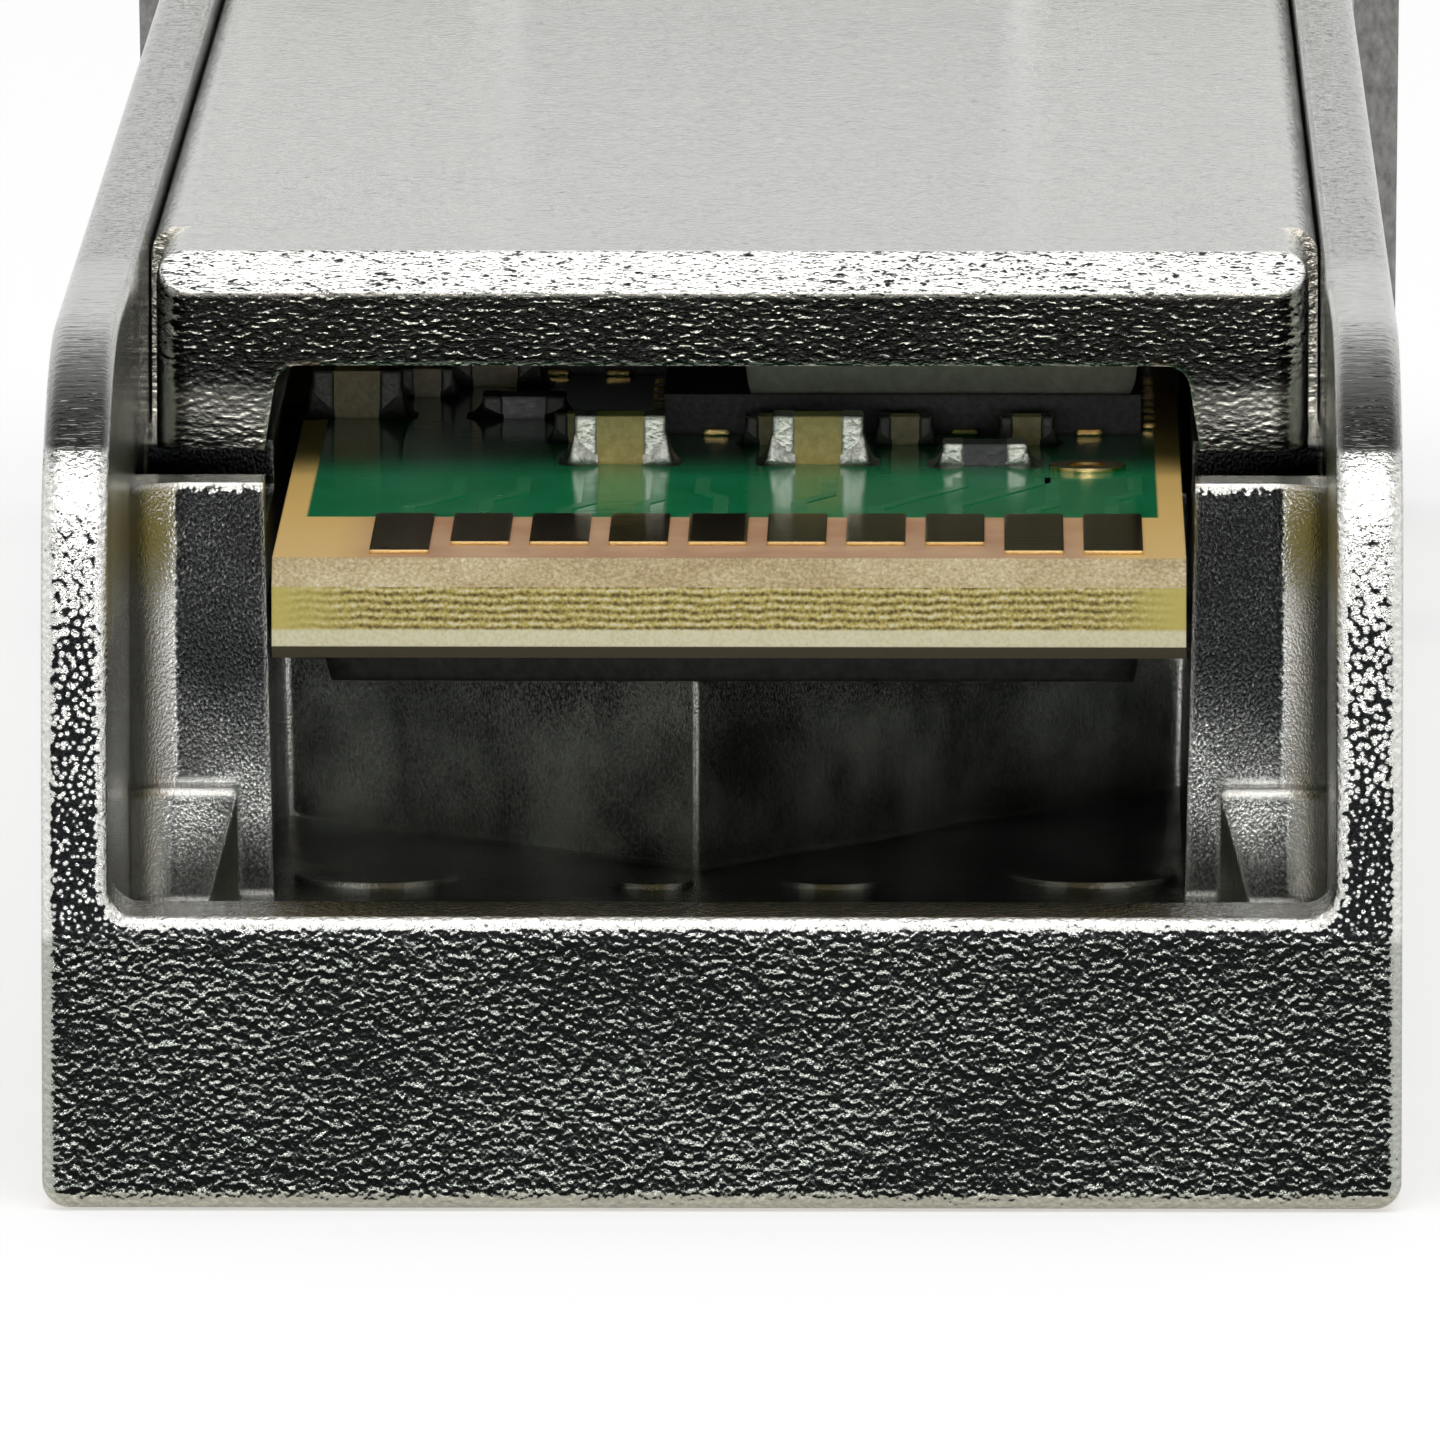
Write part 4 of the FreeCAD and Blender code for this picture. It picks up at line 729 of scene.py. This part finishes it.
slot_materials = {
    "plated_casting": casting,
    "steel": worn_metal("brushed_steel", dark=(0.3, 0.295, 0.285), light=(0.5, 0.49, 0.475),
                        stretch=(0.15, 1.0, 1.0), scale=9000.0, roughness=0.28, depth=0.004 * MM),
    "optics_metal": worn_metal("turned_steel", dark=(0.45, 0.44, 0.42), light=(0.72, 0.7, 0.67),
                               stretch=(0.1, 1.0, 0.1), scale=7000.0, roughness=0.24, depth=0.004 * MM),
    "laminate": board_laminate(),
    "gold": gold,
    "ceramic_part": grained("ceramic_body", dark=(0.58, 0.41, 0.1), light=(0.78, 0.58, 0.18),
                            scale=9000.0, roughness=0.45, depth=0.006 * MM),
    "dark_part": grained("dark_body", dark=(0.012, 0.012, 0.013), light=(0.04, 0.04, 0.042),
                         scale=9000.0, roughness=0.4, depth=0.006 * MM),
    "chip_plastic": grained("chip_plastic", dark=(0.01, 0.01, 0.011), light=(0.026, 0.026, 0.027),
                            scale=14000.0, roughness=0.55, depth=0.01 * MM),
    "gap_filler": gap_filler,
    "flex_film": flex_film(),
    "receptacle_plastic": grained("receptacle_plastic", dark=(0.012, 0.012, 0.013), light=(0.03, 0.03, 0.031),
                                  scale=8000.0, roughness=0.45, depth=0.008 * MM),
    "grip_plastic": grained("grip_plastic", dark=(0.014, 0.014, 0.015), light=(0.035, 0.035, 0.036),
                            scale=8000.0, roughness=0.5, depth=0.012 * MM),
}
for part in frame["record"]["subparts"]:
    mesh = nodes[part["node"]].data
    mesh.materials.clear()
    mesh.materials.append(slot_materials[part["material_slot"]])
nodes["bottom_cover"].data.materials[0] = cover_casting
nodes["bail"].data.materials[0] = bent_strip


# Pieces

def make_piece(name, build, material):
    """Run build on an empty mesh and make it a piece that rides on the module."""
    work = bmesh.new()
    build(work)
    bmesh.ops.recalc_face_normals(work, faces=work.faces)
    mesh = bpy.data.meshes.new(name)
    work.to_mesh(mesh)
    work.free()
    mesh.materials.append(material)
    piece = bpy.data.objects.new(name, mesh)
    bpy.context.collection.objects.link(piece)
    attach(piece, "module")
    return piece


def smooth(piece):
    for face in piece.data.polygons:
        face.use_smooth = True


def add_block(work, low, high, radius):
    """Block with rounded edges."""
    place = Matrix.Translation((low + high) / 2.0) @ Matrix.Diagonal((*(high - low), 1.0))
    made = bmesh.ops.create_cube(work, matrix=place)
    edges = {edge for vertex in made["verts"] for edge in vertex.link_edges}
    bmesh.ops.bevel(work, geom=list(edges), offset=radius, segments=EDGE_SEGMENTS, profile=0.5,
                    affect="EDGES")


def part_groups():
    """Size and place on the board of every small part with metal ends."""
    groups = [(CAPACITOR, CAPACITOR_PLACES), (RESISTOR, RESISTOR_PLACES),
              (SMALL_CAPACITOR, SMALL_CAPACITOR_PLACES), (INDUCTOR, INDUCTOR_PLACES)]
    for size, places in groups:
        for x, y in places:
            yield size, Vector((x * MM, REAR_Y + y * MM, BOARD_TOP))


def build_terminals(work):
    """Tinned ends of the small parts."""
    for size, foot in part_groups():
        for side in (-1.0, 1.0):
            outer = foot.x + side * (size.x / 2.0 + TERMINAL_SKIN)
            inner = foot.x + side * size.x * (0.5 - TERMINAL_SHARE)
            half = size.y / 2.0 + TERMINAL_SKIN
            low = Vector((min(outer, inner), foot.y - half, foot.z))
            high = Vector((max(outer, inner), foot.y + half, foot.z + size.z + TERMINAL_SKIN))
            add_block(work, low, high, TERMINAL_EDGE)


def fillet_path(inner, outer, half):
    """Points round three sides of a metal end, with the way that each faces and its share of full size."""
    side = 1.0 if outer > inner else -1.0
    steps = FILLET_TURN_STEPS
    quarter = [math.pi / 2.0 * step / steps for step in range(steps + 1)]
    run = [(inner + (outer - inner) * step / steps, step / steps) for step in range(steps)]
    path = [(x, -half, Vector((0.0, -1.0)), share) for x, share in run]
    path += [(outer, -half, Vector((side * math.sin(turn), -math.cos(turn))), 1.0) for turn in quarter]
    path += [(outer, half, Vector((side * math.cos(turn), math.sin(turn))), 1.0) for turn in quarter]
    path += [(x, half, Vector((0.0, 1.0)), share) for x, share in reversed(run)]
    return path


def build_solder(work):
    """Hollow slopes of solder from the metal ends down to the board."""
    for size, foot in part_groups():
        reach = min(FILLET_REACH_SHARE * size.y, FILLET_REACH_LIMIT)
        rise = FILLET_RISE_SHARE * size.z
        half = size.y / 2.0 + TERMINAL_SKIN / 2.0
        for side in (-1.0, 1.0):
            inner = foot.x + side * size.x * (0.5 - TERMINAL_SHARE)
            outer = foot.x + side * (size.x / 2.0 + TERMINAL_SKIN / 2.0)
            rows = []
            for x, y, facing, share in fillet_path(inner, outer, half):
                widest = reach * (FILLET_START_REACH + (1.0 - FILLET_START_REACH) * share)
                highest = rise * (FILLET_START_RISE + (1.0 - FILLET_START_RISE) * share)
                row = []
                for step in range(FILLET_STEPS + 1):
                    out = step / FILLET_STEPS
                    spread = widest * out
                    up = highest * (1.0 - out) ** FILLET_HOLLOW
                    spot = (x + facing.x * spread, foot.y + y + facing.y * spread, foot.z + up)
                    row.append(work.verts.new(spot))
                rows.append(row)
            for first, second in zip(rows, rows[1:]):
                for step in range(FILLET_STEPS):
                    work.faces.new((first[step], first[step + 1], second[step + 1], second[step]))


def build_toes(work):
    """Solder toes along the four sides of both chips."""
    for middle in (DRIVER_MIDDLE, CONTROLLER_MIDDLE):
        for quarter in range(4):
            turn = Matrix.Rotation(math.pi / 2.0 * quarter, 4, "Z")
            half = turn @ Vector((TOE_SIZE.x / 2.0, TOE_SIZE.y / 2.0, 0.0))
            half = Vector((abs(half.x), abs(half.y), 0.0))
            top = Vector((0.0, 0.0, TOE_SIZE.z))
            for count in range(TOES_PER_SIDE):
                along = (count - (TOES_PER_SIDE - 1) / 2.0) * TOE_PITCH
                spot = middle + turn @ Vector((along, CHIP_WIDTH / 2.0 + TOE_SIZE.y / 2.0, 0.0))
                add_block(work, spot - half, spot + half + top, TOE_EDGE)


def add_ribbon(work, points, width, floor, rise):
    """Flat strip with mitred bends that lies on the board."""
    rows = []
    for index, point in enumerate(points):
        before = (point - points[index - 1]).normalized() if index else (points[1] - point).normalized()
        after = (points[index + 1] - point).normalized() if index + 1 < len(points) else before
        way = (before + after).normalized()
        across = Vector((-way.y, way.x)) * width / 2.0 / max(way.dot(before), SHARPEST_MITRE)
        row = []
        for corner in (point - across, point + across):
            row += [work.verts.new((*corner, height)) for height in (floor, floor + rise)]
        rows.append(row)
    for first, second in zip(rows, rows[1:]):
        work.faces.new((first[1], first[3], second[3], second[1]))
        work.faces.new((first[0], first[1], second[1], second[0]))
        work.faces.new((first[3], first[2], second[2], second[3]))
    work.faces.new((rows[0][0], rows[0][2], rows[0][3], rows[0][1]))
    work.faces.new((rows[-1][0], rows[-1][1], rows[-1][3], rows[-1][2]))


def build_traces(work):
    """Copper under the mask, from each contact back to the parts."""
    for count in range(CONTACTS):
        x = FIRST_CONTACT_X + count * CONTACT_PITCH
        shift = TRACE_SHIFT[count] * MM
        bend = REAR_Y + TRACE_BEND_Y[count] * MM
        route = [(x, MASK_START_Y), (x, bend), (x + shift, bend + TRACE_SLANT * abs(shift)),
                 (x + shift, TRACE_END_Y)]
        add_ribbon(work, [Vector(point) for point in route], TRACE_WIDTH, BOARD_TOP, TRACE_RISE)


def make_pad(name, node, material):
    """Soft pad pressed flat above and below, with sides that bulge and a slightly uneven skin."""
    low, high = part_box(node)
    middle = (low + high) / 2.0
    half = (high - low) / 2.0

    def build(work):
        made = bmesh.ops.create_cube(work, size=2.0)
        edges = {edge for vertex in made["verts"] for edge in vertex.link_edges}
        bmesh.ops.subdivide_edges(work, edges=list(edges), cuts=PAD_CELLS, use_grid_fill=True)
        for vertex in work.verts:
            spot = vertex.co.copy()
            pull = PAD_EDGE_BULGE * (1.0 + abs(spot.z) ** PAD_BULGE_POWER) / 2.0
            place = Vector((spot.x * (half.x - pull), spot.y * (half.y - pull), spot.z * half.z))
            uneven = noise.noise((place + middle) / PAD_CREASE_SIZE) * PAD_CREASE
            place.x += uneven * spot.x ** PAD_CREASE_POWER
            place.y += uneven * spot.y ** PAD_CREASE_POWER
            vertex.co = middle + place

    pad = make_piece(name, build, material)
    smooth(pad)
    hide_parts(node)


make_piece("part_terminals", build_terminals, tin)
smooth(make_piece("solder_fillets", build_solder, tin))
make_piece("chip_toes", build_toes, gold)
make_piece("mask_traces", build_traces, covered_copper)
make_pad("upper_soft_pad", "upper_thermal_pad", gap_filler)
make_pad("lower_soft_pad", "lower_thermal_pad", dark_filler)


# Stage, lamps and camera

def seen_directly(tree):
    """One for rays from the camera, from shiny surfaces and through glass, and zero for the rest."""
    path = tree.nodes.new("ShaderNodeLightPath")
    seen = path.outputs["Is Camera Ray"]
    for name in ("Is Glossy Ray", "Is Transmission Ray"):
        either = tree.nodes.new("ShaderNodeMath")
        either.operation = "MAXIMUM"
        tree.links.new(seen, either.inputs[0])
        tree.links.new(path.outputs[name], either.inputs[1])
        seen = either.outputs[0]
    return seen


def make_sheet(name, corners, colour):
    mesh = bpy.data.meshes.new(name)
    mesh.from_pydata(corners, [], [(0, 1, 2, 3)])
    sheet = bpy.data.objects.new(name, mesh)
    bpy.context.collection.objects.link(sheet)
    graph = Graph(name)
    mesh.materials.append(graph.surface(Base_Color=colour, Roughness=1.0, Specular_IOR_Level=0.0))
    return sheet, graph


def level_corners(half, start_y, end_y, z):
    return [(-half, start_y, z), (half, start_y, z), (half, end_y, z), (-half, end_y, z)]


def upright_corners(half, y, low, high):
    return [(-half, y, low), (half, y, low), (half, y, high), (-half, y, high)]


def make_floor():
    corners = level_corners(FLOOR_HALF, -FLOOR_HALF, FLOOR_HALF, -FLOOR_DROP)
    graph = make_sheet("floor", corners, FLOOR_COLOUR)[1]
    glow = graph.times(seen_directly(graph.tree), FLOOR_GLOW)
    graph.surface(Emission_Color=WHITE, Emission_Strength=glow)


def make_card(name, corners, glow):
    """Dark card with an even glow of its own, which the camera doesn't see and which casts no shadow."""
    card, graph = make_sheet(name, corners, CARD_COLOUR)
    graph.surface(Emission_Color=WHITE, Emission_Strength=glow)
    card.visible_camera = False
    card.visible_shadow = False


def make_lamp(name, place, target, width, height, radiance):
    lamp = bpy.data.lights.new(name, "AREA")
    lamp.shape = "RECTANGLE"
    lamp.size = width
    lamp.size_y = height
    lamp.energy = radiance * math.pi * width * height
    made = bpy.data.objects.new(name, lamp)
    made.location = place
    made.rotation_euler = (Vector(target) - Vector(place)).to_track_quat("-Z", "Y").to_euler()
    made.visible_camera = False
    bpy.context.collection.objects.link(made)
    return made


def make_lamps():
    make_lamp("overhead_lamp", place=(0.0, -0.06, 0.8), target=(0.0, -0.02, 0.0), width=0.6, height=0.4,
              radiance=1.5)
    make_lamp("front_lamp", place=(0.0, -0.65, 0.66), target=(0.0, -0.02, 0.0), width=0.9, height=0.5,
              radiance=1.8)
    strip = make_lamp("low_strip", place=(0.0, -0.95, 0.035), target=(0.0, 0.0, 0.02), width=0.6, height=0.1,
                      radiance=8.0)
    strip.visible_diffuse = False


def make_cards():
    make_card("front_flag", upright_corners(ROOM_HALF, FRONT_FLAG_Y, FRONT_FLAG_LOW, FRONT_FLAG_HIGH), 0.0)
    make_card("top_flag", level_corners(TOP_FLAG_HALF, TOP_FLAG_START_Y, CEILING_START_Y, ROOM_HEIGHT), 0.0)
    make_card("ceiling", level_corners(ROOM_HALF, CEILING_START_Y, ROOM_BACK_Y, ROOM_HEIGHT), CEILING_GLOW)
    make_card("back_wall", upright_corners(ROOM_HALF, ROOM_BACK_Y, 0.0, ROOM_HEIGHT), WALL_GLOW)


def make_world():
    world = bpy.data.worlds.new("studio")
    bpy.context.scene.world = world
    world.use_nodes = True
    tree = world.node_tree
    mix = tree.nodes.new("ShaderNodeMix")
    mix.inputs["A"].default_value = WORLD_FILL
    mix.inputs["B"].default_value = 1.0
    tree.links.new(seen_directly(tree), mix.inputs["Factor"])
    background = tree.nodes["Background"]
    background.inputs["Color"].default_value = WHITE
    tree.links.new(mix.outputs["Result"], background.inputs["Strength"])


def make_camera():
    data = bpy.data.cameras.new("camera")
    data.sensor_width = SENSOR_WIDTH_MM
    data.lens = FOCAL_LENGTH_MM
    data.clip_start = CAMERA_CLIP_START
    camera = bpy.data.objects.new("camera", data)
    level = math.cos(CAMERA_ELEVATION)
    back = Vector((math.sin(CAMERA_AZIMUTH) * level, -math.cos(CAMERA_AZIMUTH) * level,
                   math.sin(CAMERA_ELEVATION)))
    camera.location = CAMERA_TARGET + back * CAMERA_DISTANCE
    camera.rotation_euler = (-back).to_track_quat("-Z", "Y").to_euler()
    bpy.context.collection.objects.link(camera)
    bpy.context.scene.camera = camera


make_floor()
make_world()
make_lamps()
make_cards()
make_camera()
bpy.context.scene.view_settings.view_transform = "Standard"
